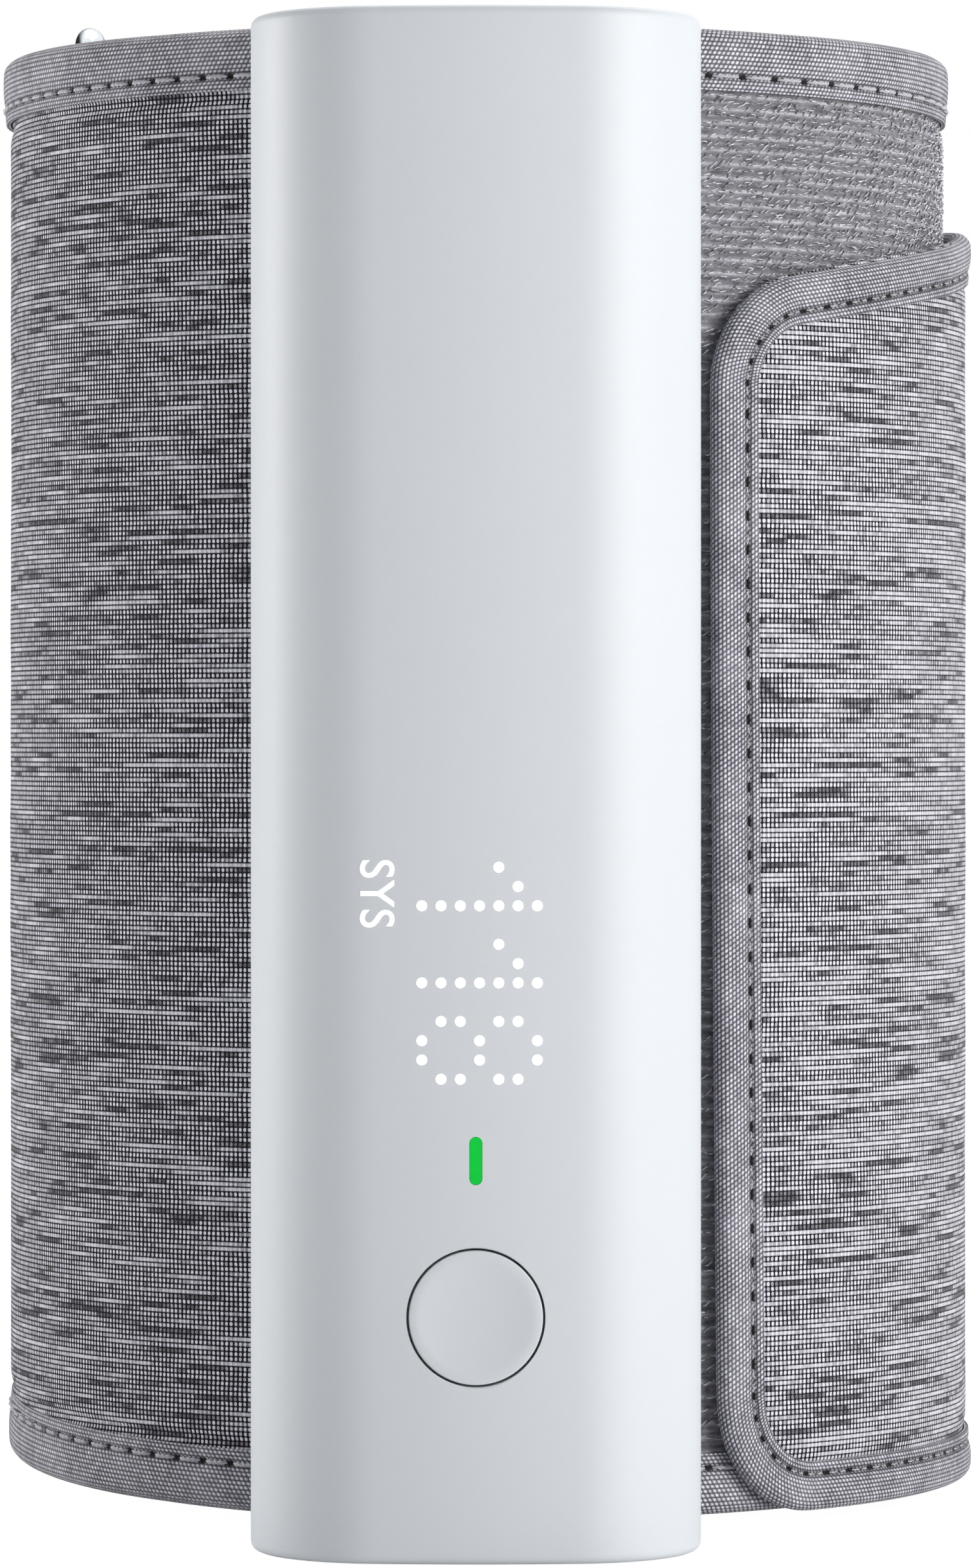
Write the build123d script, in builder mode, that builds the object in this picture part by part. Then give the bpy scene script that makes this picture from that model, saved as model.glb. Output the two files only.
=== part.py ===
from build123d import *
import os
from math import asin, atan2, cos, degrees, radians, sin, sqrt

# Upper-arm blood pressure monitor: an upright tube with a rolled cuff fixed to its back.
# Millimetres. The tube stands on its bottom end, and the origin is the centre of that end.
# +Z is up, the display faces -Y, and the cuff is rolled about an upright axis behind the tube.
# A heading is an angle about an upright axis: 0 is the front (-Y), 90 is +X, 180 is the back.

os.makedirs("parts", exist_ok=True)

# ------------------------------------------------------------------ driving dimensions
# Clearances
rigid_gap = 0.25  # round a rigid part that slides into another
close_gap = 0.05  # round a part that is seated, plugged in or glued
skin_gap = 0.1  # between two layers of the cuff
moving_gap = 0.36  # between faces that move past each other
shaft_gap = 0.06  # radial, round a shaft or plunger that runs in a hole
screw_gap = 0.1  # radial, round a screw that passes through

# Tube
tube_height = 158.0
tube_width = 46.5
tube_side_radius = 14.0
tube_crown = 0.5  # how far the front bulges past the sides
tube_back = 12.5  # from the tube's axis to its flat back
tube_wall = 1.8
tube_end_round = 1.0
cap_plate = 2.0
cap_skirt = 4.0
cap_skirt_wall = 1.4
seal_size = 1.0
seal_setback = 1.2  # from the cap's plate

# Push button
button_height = 25.05
button_diameter = 14.0
button_groove = 0.22
button_dish = 0.2
button_dish_diameter = 12.0
button_flange = 1.2  # how far the flange reaches past the cap's rim
button_flange_thickness = 0.8
button_stem_diameter = 4.0
button_travel = 0.6

# Chassis and main board
chassis_wall = 1.4
chassis_back = 2.0
board_room = 4.2  # between the tube's inner front and the board
board_thickness = 1.2
board_half_width = 18.0
board_bottom = 9.0
board_end_gap = 0.6  # under the deck
post_x = 15.5
post_diameter = 4.4
post_inset = 3.0  # from the board's ends
board_screw_diameter = 1.6
board_screw_head = 3.2
board_screw_head_height = 0.8
board_screw_length = 6.0
board_corner = 1.2
chip_height = 1.0
chip_places = (  # x, z, width and height of each chip
    (10.5, 36.0, 7.0, 7.0),
    (13.5, 26.5, 4.0, 5.0),
    (-8.0, 15.0, 4.0, 5.0),
    (8.5, 14.5, 6.0, 4.0),
)
shield_x = -9.7
shield_middle = 35.5
shield_width = 10.0
shield_height = 12.0
shield_depth = 1.8

# Display, status light and switch
dot_pitch = 1.95
dot_columns = 7
dot_rows = 15
dot_diameter = 1.4
display_x = 0.35
display_top_row = 74.55
led_size = 0.85
led_height = 0.4
led_board_thickness = 0.8
display_edge = 1.8  # from the outer rows of dots to the edge of the baffle
window_wall = 0.9  # wall left in front of the display
film_thickness = 0.25
status_height = 40.93
status_length = 4.9
status_width = 1.34
status_shoulder = 1.0
status_shoulder_depth = 1.3
status_led_height = 0.8
status_led_width = 1.6
status_led_length = 3.2
switch_size = 5.0
switch_height = 1.5
plunger_diameter = 2.5
plunger_height = 0.8
plunger_depth = 0.6  # in the switch

# Battery
battery_diameter = 14.0
battery_length = 48.0
battery_x = 9.5
battery_end_gap = 0.8  # above the posts of the main board
battery_pad = 0.4
battery_pad_width = 8.0
battery_pad_length = 40.0
battery_nub = 1.0
battery_nub_diameter = 5.5

# Charging socket
socket_width = 7.5
socket_depth = 2.6
socket_wall = 0.35
socket_tongue = 0.6
socket_tongue_width = 5.0
socket_board_length = 20.0
socket_board_width = 14.0
socket_recess = 0.2

# Air path
port_diameter = 6.0
port_bore = 3.0
port_engagement = 3.0
manifold_front = -3.0
manifold_back = 4.0
manifold_height = 8.0
manifold_end = 3.5  # past each nipple
nipple_y = 0.5
nipple_diameter = 2.4
nipple_length = 3.2
hose_length = 9.0
channel_diameter = 1.4
gallery_diameter = 2.0  # of the passage that joins the channels
hose_wall = 0.8
sensor_size = 7.0
sensor_barb_diameter = 2.0
sensor_barb_length = 1.6

# Pump
pump_x = -7.5
pump_nipple_x = -4.0
motor_diameter = 18.6
motor_length = 25.0
motor_headroom = 9.5  # under the chassis's top
motor_wall = 0.9
motor_mount_wall = 0.8
motor_mount_length = 20.0
shaft_diameter = 2.0
armature_diameter = 12.4
armature_length = 17.0
armature_slot = 1.6
armature_poles = 3
commutator_diameter = 4.4
commutator_length = 2.6
magnet_thickness = 2.0
magnet_angle = 130.0
magnets = 2
pump_head_height = 6.0
pump_head_wall = 1.4
diaphragm_thickness = 1.2
pump_cup_diameter = 5.2
pump_cup_height = 3.6
pump_cup_circle = 4.0  # radius of the circle of cups
pump_cup_wall = 0.6
pump_cups = 3
pump_base_height = 11.8
pump_base_wall = 1.2
rocker_thickness = 1.4
rocker_stem_diameter = 1.6
rocker_diameter = 12.6
crank_diameter = 10.0
crank_thickness = 3.0
crank_throw = 3.0

# Valve
valve_x = 10.5
valve_width = 11.0
valve_depth = 10.0
valve_height = 20.0
valve_plate = 1.6
valve_side = 1.0
valve_coil_diameter = 8.8
valve_plunger_diameter = 4.0
valve_neck_diameter = 2.2
valve_neck_length = 2.0
valve_travel = 0.8
valve_spring_wire = 0.3
valve_spring_diameter = 3.2
valve_spring_turns = 3

# Cuff, as rolled up
cuff_radius = 52.35  # outer face of the cloth
cuff_rise = 0.7  # of its top above the tube's
cuff_bottom = 1.6
left_end = -109.0  # heading of the left part's end, where its hem begins
right_end = 182.0  # heading of the right part's end, where the strap begins
left_bottom_at_back = 7.9  # height that the left part's sloping lower edge would reach at heading -180
panel_thickness = 1.1
stiffener_thickness = 0.85
liner_thickness = 0.7
liner_crown = 3.85  # how far the lining bulges towards the arm
stiffener_margin = 12.0
bladder_margin = 18.5
bladder_start = -97.0
bladder_end = 165.0
stiffener_start = -105.0
stiffener_end = 175.0
binding_width = 6.2
binding_thickness = 0.6
binding_inner_thickness = 1.1  # over the lining

# Fixing of the cuff to the tube
saddle_thickness = 1.2  # at its thinnest
saddle_width = 28.0
saddle_inset = 10.0  # from the tube's ends
clamp_width = 28.0
clamp_thickness = 2.4
clamp_bottom = 45.0
clamp_height = 70.0
cuff_screw_x = 11.5
cuff_screw_inset = 8.0  # from the clamp plate's ends
cuff_screw_diameter = 2.5
cuff_screw_head = 4.6
cuff_screw_head_height = 1.2

# Ring
ring_wire = 3.2
ring_width = 13.8
ring_bottom = 2.4
ring_rise = 7.1  # above the cuff's top
ring_corner = 4.0
ring_hem_heading = -114.8
ring_heading = 178.6  # of the ring's outer wire, seen from the wire in the hem
ring_swing_room = 0.85  # between the wire and the strap that folds round it

# Strap and flap
strap_thickness = 1.9
strap_gap = 0.25  # between the strap and the binding of the cuff under it
strap_leaves = 190.0  # heading at which the strap leaves the cuff towards the ring
strap_fold_drop = 3.7  # of its top edge below the cuff's
strap_fold_bottom = 8.0
flap_hinge = 100.0  # heading of the line that the flap folds out about
flap_hinge_gap = 0.4
flap_tip = 26.6
flap_tip_drop = 26.8  # of its top edge below the cuff's
flap_hinge_drop = 17.3
flap_bottom = 1.2
flap_corner = 13.0
flap_binding_width = 5.3
flap_binding_thickness = 0.4
flap_binding_inset = 0.5  # from the binding's edge to the cloth inside it
hook_thickness = 0.6
hook_inset = 7.0
hook_end_gap = 3.0  # from the hinge line

# ------------------------------------------------------------------ derived places
tube_depth = 2 * (tube_side_radius + tube_crown)  # of the whole oval, before its back is cut flat
inner_front = tube_wall - tube_depth / 2
board_front = inner_front + board_room
chassis_inset = tube_wall + rigid_gap
chassis_floor = tube_back - chassis_inset - chassis_back
chassis_bottom = cap_plate + cap_skirt + skin_gap
chassis_top = tube_height - chassis_bottom

# The pump hangs from the top of the chassis, and stands on the deck under it.
can_top = chassis_top - chassis_wall - motor_headroom
base_top = can_top - motor_length
sheet_top = base_top - pump_base_height
head_top = sheet_top - diaphragm_thickness
deck_height = head_top - pump_head_height
port_height = deck_height - hose_length - manifold_height / 2
board_top = deck_height - chassis_wall - board_end_gap
board_back = board_front + board_thickness
post_low = board_bottom + post_inset
post_high = board_top - post_inset
display_height = display_top_row - dot_pitch * (dot_rows - 1) / 2
display_width = dot_pitch * (dot_columns - 1) + 2 * display_edge
display_length = dot_pitch * (dot_rows - 1) + 2 * display_edge
window_back = window_wall - tube_depth / 2
led_front = board_front - led_board_thickness
motor_radius = motor_diameter / 2
pump_y = chassis_floor - motor_mount_wall - close_gap - motor_radius

roll = Vector(0, tube_back + saddle_thickness + skin_gap + cuff_radius)
roll_axis = Axis((roll.X, roll.Y, 0), (0, 0, 1))
cuff_top = tube_height + cuff_rise
ring_top = cuff_top + ring_rise
saddle_top = tube_height - saddle_inset
clamp_top = clamp_bottom + clamp_height
strap_fold_top = cuff_top - strap_fold_drop
flap_tip_top = cuff_top - flap_tip_drop
flap_hinge_top = cuff_top - flap_hinge_drop
cloth_bottom = cuff_bottom + binding_thickness
cloth_top = cuff_top - binding_thickness
cloth_middle = (cloth_bottom + cloth_top) / 2
panel_inner = cuff_radius - panel_thickness
clamp_outer = panel_inner - skin_gap
clamp_inner = clamp_outer - clamp_thickness
liner_outer = panel_inner - skin_gap
liner_inner = liner_outer - liner_thickness
stiffener_outer = panel_inner - skin_gap
stiffener_inner = stiffener_outer - stiffener_thickness
bladder_outer = stiffener_inner - skin_gap
binding_outer = cuff_radius + binding_thickness
binding_inner = liner_inner - binding_inner_thickness
seam_half = degrees(skin_gap / 2 / cuff_radius)

strap_inner = binding_outer + strap_gap
strap_outer = strap_inner + strap_thickness
hinge_radius = strap_outer + flap_binding_thickness
hinge_half_gap = degrees(flap_hinge_gap / 2 / hinge_radius)
strap_start = flap_hinge + hinge_half_gap
flap_end = flap_hinge - hinge_half_gap
flap_binding_inner = strap_inner + skin_gap
flap_cloth_inner = strap_inner + hook_thickness + skin_gap
flap_face_heading = flap_tip + degrees(asin(flap_corner / 2 / strap_outer))


# ------------------------------------------------------------------ shared shapes
def around(centre, radius, heading):
    """Point at a distance and a heading from an upright axis."""
    turn = radians(heading)
    return Vector(centre.X + radius * sin(turn), centre.Y - radius * cos(turn))


def heading_of(centre, point):
    """Heading of a point seen from an upright axis, between 0 and 360."""
    return degrees(atan2(point.X - centre.X, centre.Y - point.Y)) % 360


def arc(centre, radius, start, end):
    """Arc about an upright axis, from one heading to another."""
    return ThreePointArc(*(around(centre, radius, heading) for heading in (start, (start + end) / 2, end)))


def spoke(centre, start_radius, end_radius, heading):
    """Straight line towards or away from an upright axis."""
    return Line(around(centre, start_radius, heading), around(centre, end_radius, heading))


def layer(inner, outer, start, end, bottom, top, centre=roll):
    """Curved wall about an upright axis, between two radii, two headings and two heights."""
    with BuildSketch(Plane.XY.offset(bottom)) as plan:
        with BuildLine():
            arc(centre, outer, start, end)
            spoke(centre, outer, inner, end)
            arc(centre, inner, end, start)
            spoke(centre, inner, outer, start)
        make_face()
    extrude(plan.sketch, amount=top - bottom)


def crowned(inner, outer, start, end, outer_crown=0):
    """Wall about the roll's axis, as tall as the cloth, whose inner face bulges towards the arm."""
    out = around(Vector(0, 0), 1, start)
    across = Plane(origin=(roll.X, roll.Y, 0), x_dir=out, z_dir=out.cross(Vector(0, 0, 1)))
    with BuildSketch(across) as profile:
        with BuildLine():
            ThreePointArc((inner, cloth_bottom), (inner - liner_crown, cloth_middle), (inner, cloth_top))
            Line((inner, cloth_top), (outer, cloth_top))
            if outer_crown:
                ThreePointArc((outer, cloth_top), (outer - outer_crown, cloth_middle), (outer, cloth_bottom))
            else:
                Line((outer, cloth_top), (outer, cloth_bottom))
            Line((outer, cloth_bottom), (inner, cloth_bottom))
        make_face()
    revolve(profile.sketch, axis=roll_axis, revolution_arc=end - start)


def tilt(start, start_height, end, end_height, radius):
    """Sloping plane across a curved wall, with one height at its start heading and another at its end."""
    middle = radians((start + end) / 2)
    rise = (end_height - start_height) / (2 * radius * sin(radians((end - start) / 2)))
    origin = (roll.X, roll.Y, (start_height + end_height) / 2)
    return Plane(origin=origin, z_dir=(-rise * cos(middle), -rise * sin(middle), 1))


def tube_section(inset, back_inset=None):
    """Cross-section of the tube, drawn inwards by an inset: round sides, crowned front, flat back."""
    side = tube_side_radius - inset
    side_centre = tube_width / 2 - tube_side_radius
    half_depth = tube_depth / 2
    crown = side_centre**2 / (2 * tube_crown) + (half_depth + tube_side_radius) / 2
    front = crown - inset
    share = front / (front - side)
    join = Vector(side_centre * share, (crown - half_depth) * (1 - share))
    back = tube_back - (inset if back_inset is None else back_inset)
    heel = Vector(side_centre + sqrt(side**2 - back**2), back)
    with BuildLine() as outline:
        ThreePointArc((-join.X, join.Y), (0, inset - half_depth), join)
        ThreePointArc(join, (side_centre + side, 0), heel)
        Line(heel, (-heel.X, back))
        ThreePointArc((-heel.X, back), (-side_centre - side, 0), (-join.X, join.Y))
    make_face(outline.edges())


def tube_slice(inset, bottom, top, mode=Mode.ADD, back_inset=None):
    """Length of the tube's cross-section, drawn inwards by an inset."""
    with BuildSketch(Plane.XY.offset(bottom)) as section:
        tube_section(inset, back_inset)
    extrude(section.sketch, amount=top - bottom, mode=mode)


def facing(depth):
    """Upright plane that looks towards the display side, at a distance behind the tube's axis."""
    return Plane.XZ.offset(-depth)


def disc(x, y, radius, bottom, top, mode=Mode.ADD):
    """Upright cylinder."""
    with BuildSketch(Plane.XY.offset(bottom)) as plan:
        with Locations((x, y)):
            Circle(radius)
    extrude(plan.sketch, amount=top - bottom, mode=mode)


def rod(x, z, radius, front, back, mode=Mode.ADD):
    """Cylinder that lies front to back."""
    with BuildSketch(facing(back)) as elevation:
        with Locations((x, z)):
            Circle(radius)
    extrude(elevation.sketch, amount=back - front, mode=mode)


def slab(x, z, width, height, front, back, mode=Mode.ADD):
    """Block given by its centre, its size seen from the front, and its front and back."""
    with BuildSketch(facing(back)) as elevation:
        with Locations((x, z)):
            Rectangle(width, height)
    extrude(elevation.sketch, amount=back - front, mode=mode)


def write(piece, name):
    """Label a finished piece and write it as its own file."""
    piece.part.label = name
    export_step(piece.part, f"parts/{name}.step")


cuff_screw_heights = (clamp_bottom + cuff_screw_inset, clamp_top - cuff_screw_inset)
cuff_screw_places = [(x, z) for x in (-cuff_screw_x, cuff_screw_x) for z in cuff_screw_heights]
board_screw_places = [(x, z) for x in (-post_x, post_x) for z in (post_low, post_high)]


def screw_holes(radius, front, back):
    """Holes for the four screws that fix the cuff to the tube."""
    for x, z in cuff_screw_places:
        rod(x, z, radius, front, back, mode=Mode.SUBTRACT)


# ------------------------------------------------------------------ tube
window_edge = 2 * moving_gap
with BuildPart() as tube_sleeve:
    tube_slice(0, 0, tube_height)
    fillet(tube_sleeve.faces().filter_by(Axis.Z).edges(), radius=tube_end_round)
    tube_slice(tube_wall, 0, tube_height, mode=Mode.SUBTRACT)
    rod(0, button_height, button_diameter / 2 + button_groove, -tube_depth, 0, mode=Mode.SUBTRACT)
    with BuildSketch(facing(0)):
        with Locations((0, status_height)):
            SlotOverall(status_length, status_width, rotation=90)
    extrude(amount=tube_depth, mode=Mode.SUBTRACT)
    slab(
        display_x, display_height, display_width + window_edge, display_length + window_edge,
        window_back, inner_front + tube_wall, mode=Mode.SUBTRACT,
    )
    rod(0, port_height, port_diameter / 2 + close_gap, 0, tube_depth, mode=Mode.SUBTRACT)
    screw_holes(cuff_screw_diameter / 2 + screw_gap, 0, tube_depth)
write(tube_sleeve, "tube_sleeve")


def end_cap(plate_bottom, skirt_bottom, seal_bottom):
    """Plate that closes one end of the tube, with a skirt and a groove for its seal."""
    cap_inset = tube_wall + close_gap
    tube_slice(cap_inset, plate_bottom, plate_bottom + cap_plate)
    tube_slice(cap_inset, skirt_bottom, skirt_bottom + cap_skirt)
    tube_slice(cap_inset + cap_skirt_wall, skirt_bottom, skirt_bottom + cap_skirt, mode=Mode.SUBTRACT)
    with BuildSketch(Plane.XY.offset(seal_bottom)) as groove:
        tube_section(tube_wall)
        with BuildSketch(mode=Mode.SUBTRACT):
            tube_section(tube_wall + seal_size)
    extrude(groove.sketch, amount=seal_size, mode=Mode.SUBTRACT)


seal_low = cap_plate + seal_setback
seal_high = tube_height - cap_plate - seal_setback - seal_size
with BuildPart() as bottom_cap:
    end_cap(0, cap_plate, seal_low)
write(bottom_cap, "bottom_cap")

with BuildPart() as top_cap:
    end_cap(tube_height - cap_plate, tube_height - cap_plate - cap_skirt, seal_high)
    with BuildSketch(Plane.XY.offset(tube_height - cap_plate)):
        SlotOverall(socket_width + 2 * rigid_gap, socket_depth + 2 * rigid_gap)
    extrude(amount=cap_plate, mode=Mode.SUBTRACT)
write(top_cap, "top_cap")

with BuildPart() as end_seals:
    for seal_bottom in (seal_low, seal_high):
        with BuildSketch(Plane.XY.offset(seal_bottom + close_gap)):
            tube_section(tube_wall + close_gap / 2)
            with BuildSketch(mode=Mode.SUBTRACT):
                tube_section(tube_wall + seal_size - close_gap)
        extrude(amount=seal_size - 2 * close_gap)
write(end_seals, "end_seals")

# ------------------------------------------------------------------ chassis
# A trough that slides into the tube, open to the front. Its deck carries the pump and the valve.
nipple_places = ((pump_nipple_x, nipple_y), (valve_x, nipple_y))
nipple_radius = nipple_diameter / 2
hose_radius = nipple_radius + close_gap + hose_wall
with BuildPart() as chassis:
    tube_slice(chassis_inset, chassis_bottom, chassis_top)
    rooms = (
        (chassis_bottom + chassis_wall, deck_height - chassis_wall),
        (deck_height, chassis_top - chassis_wall),
    )
    for room_bottom, room_top in rooms:
        floor_inset = tube_back - chassis_floor
        tube_slice(chassis_inset + chassis_wall, room_bottom, room_top, Mode.SUBTRACT, floor_inset)
    slab(0, tube_height / 2, tube_width, tube_height, -tube_depth, board_back, mode=Mode.SUBTRACT)
    for x, z in board_screw_places:
        rod(x, z, post_diameter / 2, board_back, chassis_floor)
        rod(x, z, board_screw_diameter / 2, board_back, board_back + board_screw_length, mode=Mode.SUBTRACT)
    for x, y in nipple_places:
        disc(x, y, hose_radius + rigid_gap, deck_height - chassis_wall, deck_height, mode=Mode.SUBTRACT)
    rod(0, port_height, port_diameter / 2 + close_gap, 0, tube_back, mode=Mode.SUBTRACT)
    screw_holes(cuff_screw_diameter / 2, 0, tube_back)
write(chassis, "chassis")

# ------------------------------------------------------------------ main board and what it carries
board_middle = (board_bottom + board_top) / 2
with BuildPart() as main_board:
    slab(0, board_middle, 2 * board_half_width, board_top - board_bottom, board_front, board_back)
    fillet(main_board.edges().filter_by(Axis.Y), radius=board_corner)
    for x, z in board_screw_places:
        rod(x, z, board_screw_diameter / 2 + screw_gap, board_front, board_back, mode=Mode.SUBTRACT)
write(main_board, "main_board")

with BuildPart() as board_screws:
    for x, z in board_screw_places:
        rod(x, z, board_screw_head / 2, board_front - board_screw_head_height, board_front)
        rod(x, z, board_screw_diameter / 2, board_front, board_back + board_screw_length)
write(board_screws, "board_screws")

with BuildPart() as board_chips:
    for x, z, width, height in chip_places:
        slab(x, z, width, height, board_front - chip_height, board_front)
write(board_chips, "board_chips")

with BuildPart() as radio_shield:
    slab(shield_x, shield_middle, shield_width, shield_height, board_front - shield_depth, board_front)
    fillet(radio_shield.edges().filter_by(Axis.Y), radius=board_corner)
write(radio_shield, "radio_shield")

with BuildPart() as led_array:
    slab(display_x, display_height, display_width, display_length, led_front, board_front)
    with BuildSketch(facing(led_front)):
        with Locations((display_x, display_height)):
            with GridLocations(dot_pitch, dot_pitch, dot_columns, dot_rows):
                Rectangle(led_size, led_size)
    extrude(amount=led_height)
write(led_array, "led_array")

film_front = window_back + close_gap
film_back = film_front + film_thickness
baffle_front = film_back + close_gap
with BuildPart() as light_baffle:
    slab(display_x, display_height, display_width, display_length, baffle_front, led_front)
    with BuildSketch(facing(led_front)):
        with Locations((display_x, display_height)):
            with GridLocations(dot_pitch, dot_pitch, dot_columns, dot_rows):
                Circle(dot_diameter / 2)
    extrude(amount=led_front - baffle_front, mode=Mode.SUBTRACT)
write(light_baffle, "light_baffle")

with BuildPart() as diffuser_film:
    slab(display_x, display_height, display_width, display_length, film_front, film_back)
write(diffuser_film, "diffuser_film")

status_led_front = board_front - status_led_height
with BuildPart() as status_led:
    slab(0, status_height, status_led_width, status_led_length, status_led_front, board_front)
write(status_led, "status_led")

shoulder_front = inner_front + rigid_gap
with BuildPart() as status_light_pipe:
    tube_slice(0, status_height - status_length, status_height + status_length)
    with BuildSketch(facing(status_led_front - close_gap)):
        with Locations((0, status_height)):
            SlotOverall(status_length - 2 * close_gap, status_width - 2 * close_gap, rotation=90)
    extrude(amount=tube_depth, mode=Mode.INTERSECT)
    slab(
        0, status_height, status_width + 2 * status_shoulder, status_length,
        shoulder_front, shoulder_front + status_shoulder_depth,
    )
write(status_light_pipe, "status_light_pipe")

switch_front = board_front - switch_height
plunger_front = switch_front - plunger_height
with BuildPart() as tactile_switch:
    slab(0, button_height, switch_size, switch_size, switch_front, board_front)
    switch_hole = plunger_diameter / 2 + shaft_gap
    hole_depth = plunger_depth + button_travel + close_gap
    rod(0, button_height, switch_hole, switch_front, switch_front + hole_depth, mode=Mode.SUBTRACT)
write(tactile_switch, "tactile_switch")

with BuildPart() as switch_plunger:
    rod(0, button_height, plunger_diameter / 2, plunger_front, switch_front + plunger_depth)
write(switch_plunger, "switch_plunger")

# ------------------------------------------------------------------ push button
flange_front = inner_front + 2 * moving_gap
flange_back = flange_front + button_flange_thickness
dish_radius = ((button_dish_diameter / 2) ** 2 + button_dish**2) / (2 * button_dish)
with BuildPart() as button_cap:
    tube_slice(0, button_height - button_diameter, button_height + button_diameter)
    with BuildSketch(facing(flange_back)):
        with Locations((0, button_height)):
            Circle(button_diameter / 2)
    extrude(amount=tube_depth, mode=Mode.INTERSECT)
    with Locations((0, button_dish - tube_depth / 2 - dish_radius, button_height)):
        Sphere(dish_radius, mode=Mode.SUBTRACT)
    rod(0, button_height, button_diameter / 2 + button_flange, flange_front, flange_back)
    rod(0, button_height, button_stem_diameter / 2, flange_back, plunger_front)
write(button_cap, "button_cap")

# ------------------------------------------------------------------ battery
pad_front = chassis_floor - battery_pad
battery_centre = pad_front - close_gap - battery_diameter / 2
battery_bottom = post_low + post_diameter / 2 + battery_end_gap
battery_top = battery_bottom + battery_length
with BuildPart() as battery_cells:
    for x in (-battery_x, battery_x):
        disc(x, battery_centre, battery_diameter / 2, battery_bottom, battery_top - battery_nub)
        disc(x, battery_centre, battery_nub_diameter / 2, battery_top - battery_nub, battery_top)
write(battery_cells, "battery_cells")

battery_middle = battery_bottom + battery_length / 2
with BuildPart() as battery_pads:
    for x in (-battery_x, battery_x):
        slab(x, battery_middle, battery_pad_width, battery_pad_length, pad_front, chassis_floor)
write(battery_pads, "battery_pads")

# ------------------------------------------------------------------ charging socket
socket_bottom = chassis_top + board_thickness
socket_top = tube_height - socket_recess
with BuildPart() as socket_board:
    with BuildSketch(Plane.XY.offset(chassis_top)):
        RectangleRounded(socket_board_length, socket_board_width, board_corner)
    extrude(amount=board_thickness)
write(socket_board, "socket_board")

with BuildPart() as charging_socket:
    with BuildSketch(Plane.XY.offset(socket_bottom)):
        SlotOverall(socket_width, socket_depth)
    extrude(amount=socket_top - socket_bottom)
    with BuildSketch(Plane.XY.offset(socket_bottom + socket_wall)):
        SlotOverall(socket_width - 2 * socket_wall, socket_depth - 2 * socket_wall)
    extrude(amount=socket_top - socket_bottom, mode=Mode.SUBTRACT)
    with BuildSketch(Plane.XY.offset(socket_bottom)):
        Rectangle(socket_tongue_width, socket_tongue)
    extrude(amount=socket_top - socket_bottom - socket_tongue)
write(charging_socket, "charging_socket")

# ------------------------------------------------------------------ air path
manifold_top = port_height + manifold_height / 2
manifold_left = pump_nipple_x - manifold_end
manifold_right = valve_x + manifold_end
manifold_width = manifold_right - manifold_left
channel_radius = channel_diameter / 2
gallery_radius = gallery_diameter / 2
nipple_top = manifold_top + nipple_length
port_seat = port_diameter / 2 + close_gap
seal_outer = port_diameter / 2 + seal_size
seal_front = manifold_back - seal_size
barb_back = manifold_front + sensor_barb_length
with BuildPart() as air_manifold:
    slab(
        (manifold_left + manifold_right) / 2, port_height, manifold_width, manifold_height,
        manifold_front, manifold_back,
    )
    for x, y in nipple_places:
        disc(x, y, nipple_radius, manifold_top, nipple_top)
        disc(x, y, channel_radius, port_height, nipple_top, mode=Mode.SUBTRACT)
    with BuildSketch(Plane.YZ.offset(pump_nipple_x - gallery_radius)):
        with Locations((nipple_y, port_height)):
            Circle(gallery_radius)
    extrude(amount=valve_x - pump_nipple_x + 2 * gallery_radius, mode=Mode.SUBTRACT)
    rod(0, port_height, channel_radius, barb_back, manifold_back, mode=Mode.SUBTRACT)
    rod(0, port_height, port_seat, manifold_back - port_engagement, manifold_back, mode=Mode.SUBTRACT)
    rod(0, port_height, seal_outer + close_gap, seal_front, manifold_back, mode=Mode.SUBTRACT)
    rod(0, port_height, sensor_barb_diameter / 2 + close_gap, manifold_front, barb_back, mode=Mode.SUBTRACT)
write(air_manifold, "air_manifold")

with BuildPart() as pressure_sensor:
    slab(0, port_height, sensor_size, sensor_size, board_back, manifold_front - close_gap)
    rod(0, port_height, sensor_barb_diameter / 2, manifold_front - close_gap, barb_back - close_gap)
write(pressure_sensor, "pressure_sensor")

port_start = manifold_back - port_engagement + close_gap
port_end = roll.Y - clamp_inner
with BuildPart() as air_port:
    rod(0, port_height, port_diameter / 2, port_start, port_end)
    rod(0, port_height, port_bore / 2, port_start, port_end, mode=Mode.SUBTRACT)
write(air_port, "air_port")

with BuildPart() as port_seal:
    rod(0, port_height, seal_outer, seal_front + close_gap, manifold_back - close_gap)
    rod(0, port_height, port_diameter / 2 + close_gap / 2, seal_front, manifold_back, mode=Mode.SUBTRACT)
write(port_seal, "port_seal")

with BuildPart() as air_hoses:
    for x, y in nipple_places:
        disc(x, y, hose_radius, manifold_top + close_gap, deck_height - close_gap)
        disc(x, y, nipple_radius + close_gap, manifold_top, deck_height, mode=Mode.SUBTRACT)
write(air_hoses, "air_hoses")

# ------------------------------------------------------------------ pump
# Head down on the deck, motor above. The motor turns a crank that rocks the three cups of the diaphragm.
cup_top = sheet_top + pump_cup_height
rocker_top = cup_top + rocker_thickness
crank_top = base_top - moving_gap
crank_bottom = crank_top - crank_thickness
nozzle_bottom = deck_height - nipple_length
with BuildPart() as pump_head:
    disc(pump_x, pump_y, motor_radius, deck_height, head_top)
    chamber_radius = motor_radius - pump_head_wall
    disc(pump_x, pump_y, chamber_radius, deck_height + pump_head_wall, head_top, mode=Mode.SUBTRACT)
    disc(pump_nipple_x, nipple_y, nipple_radius, nozzle_bottom, deck_height)
    disc(pump_nipple_x, nipple_y, channel_radius, nozzle_bottom, head_top, mode=Mode.SUBTRACT)
write(pump_head, "pump_head")

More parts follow.
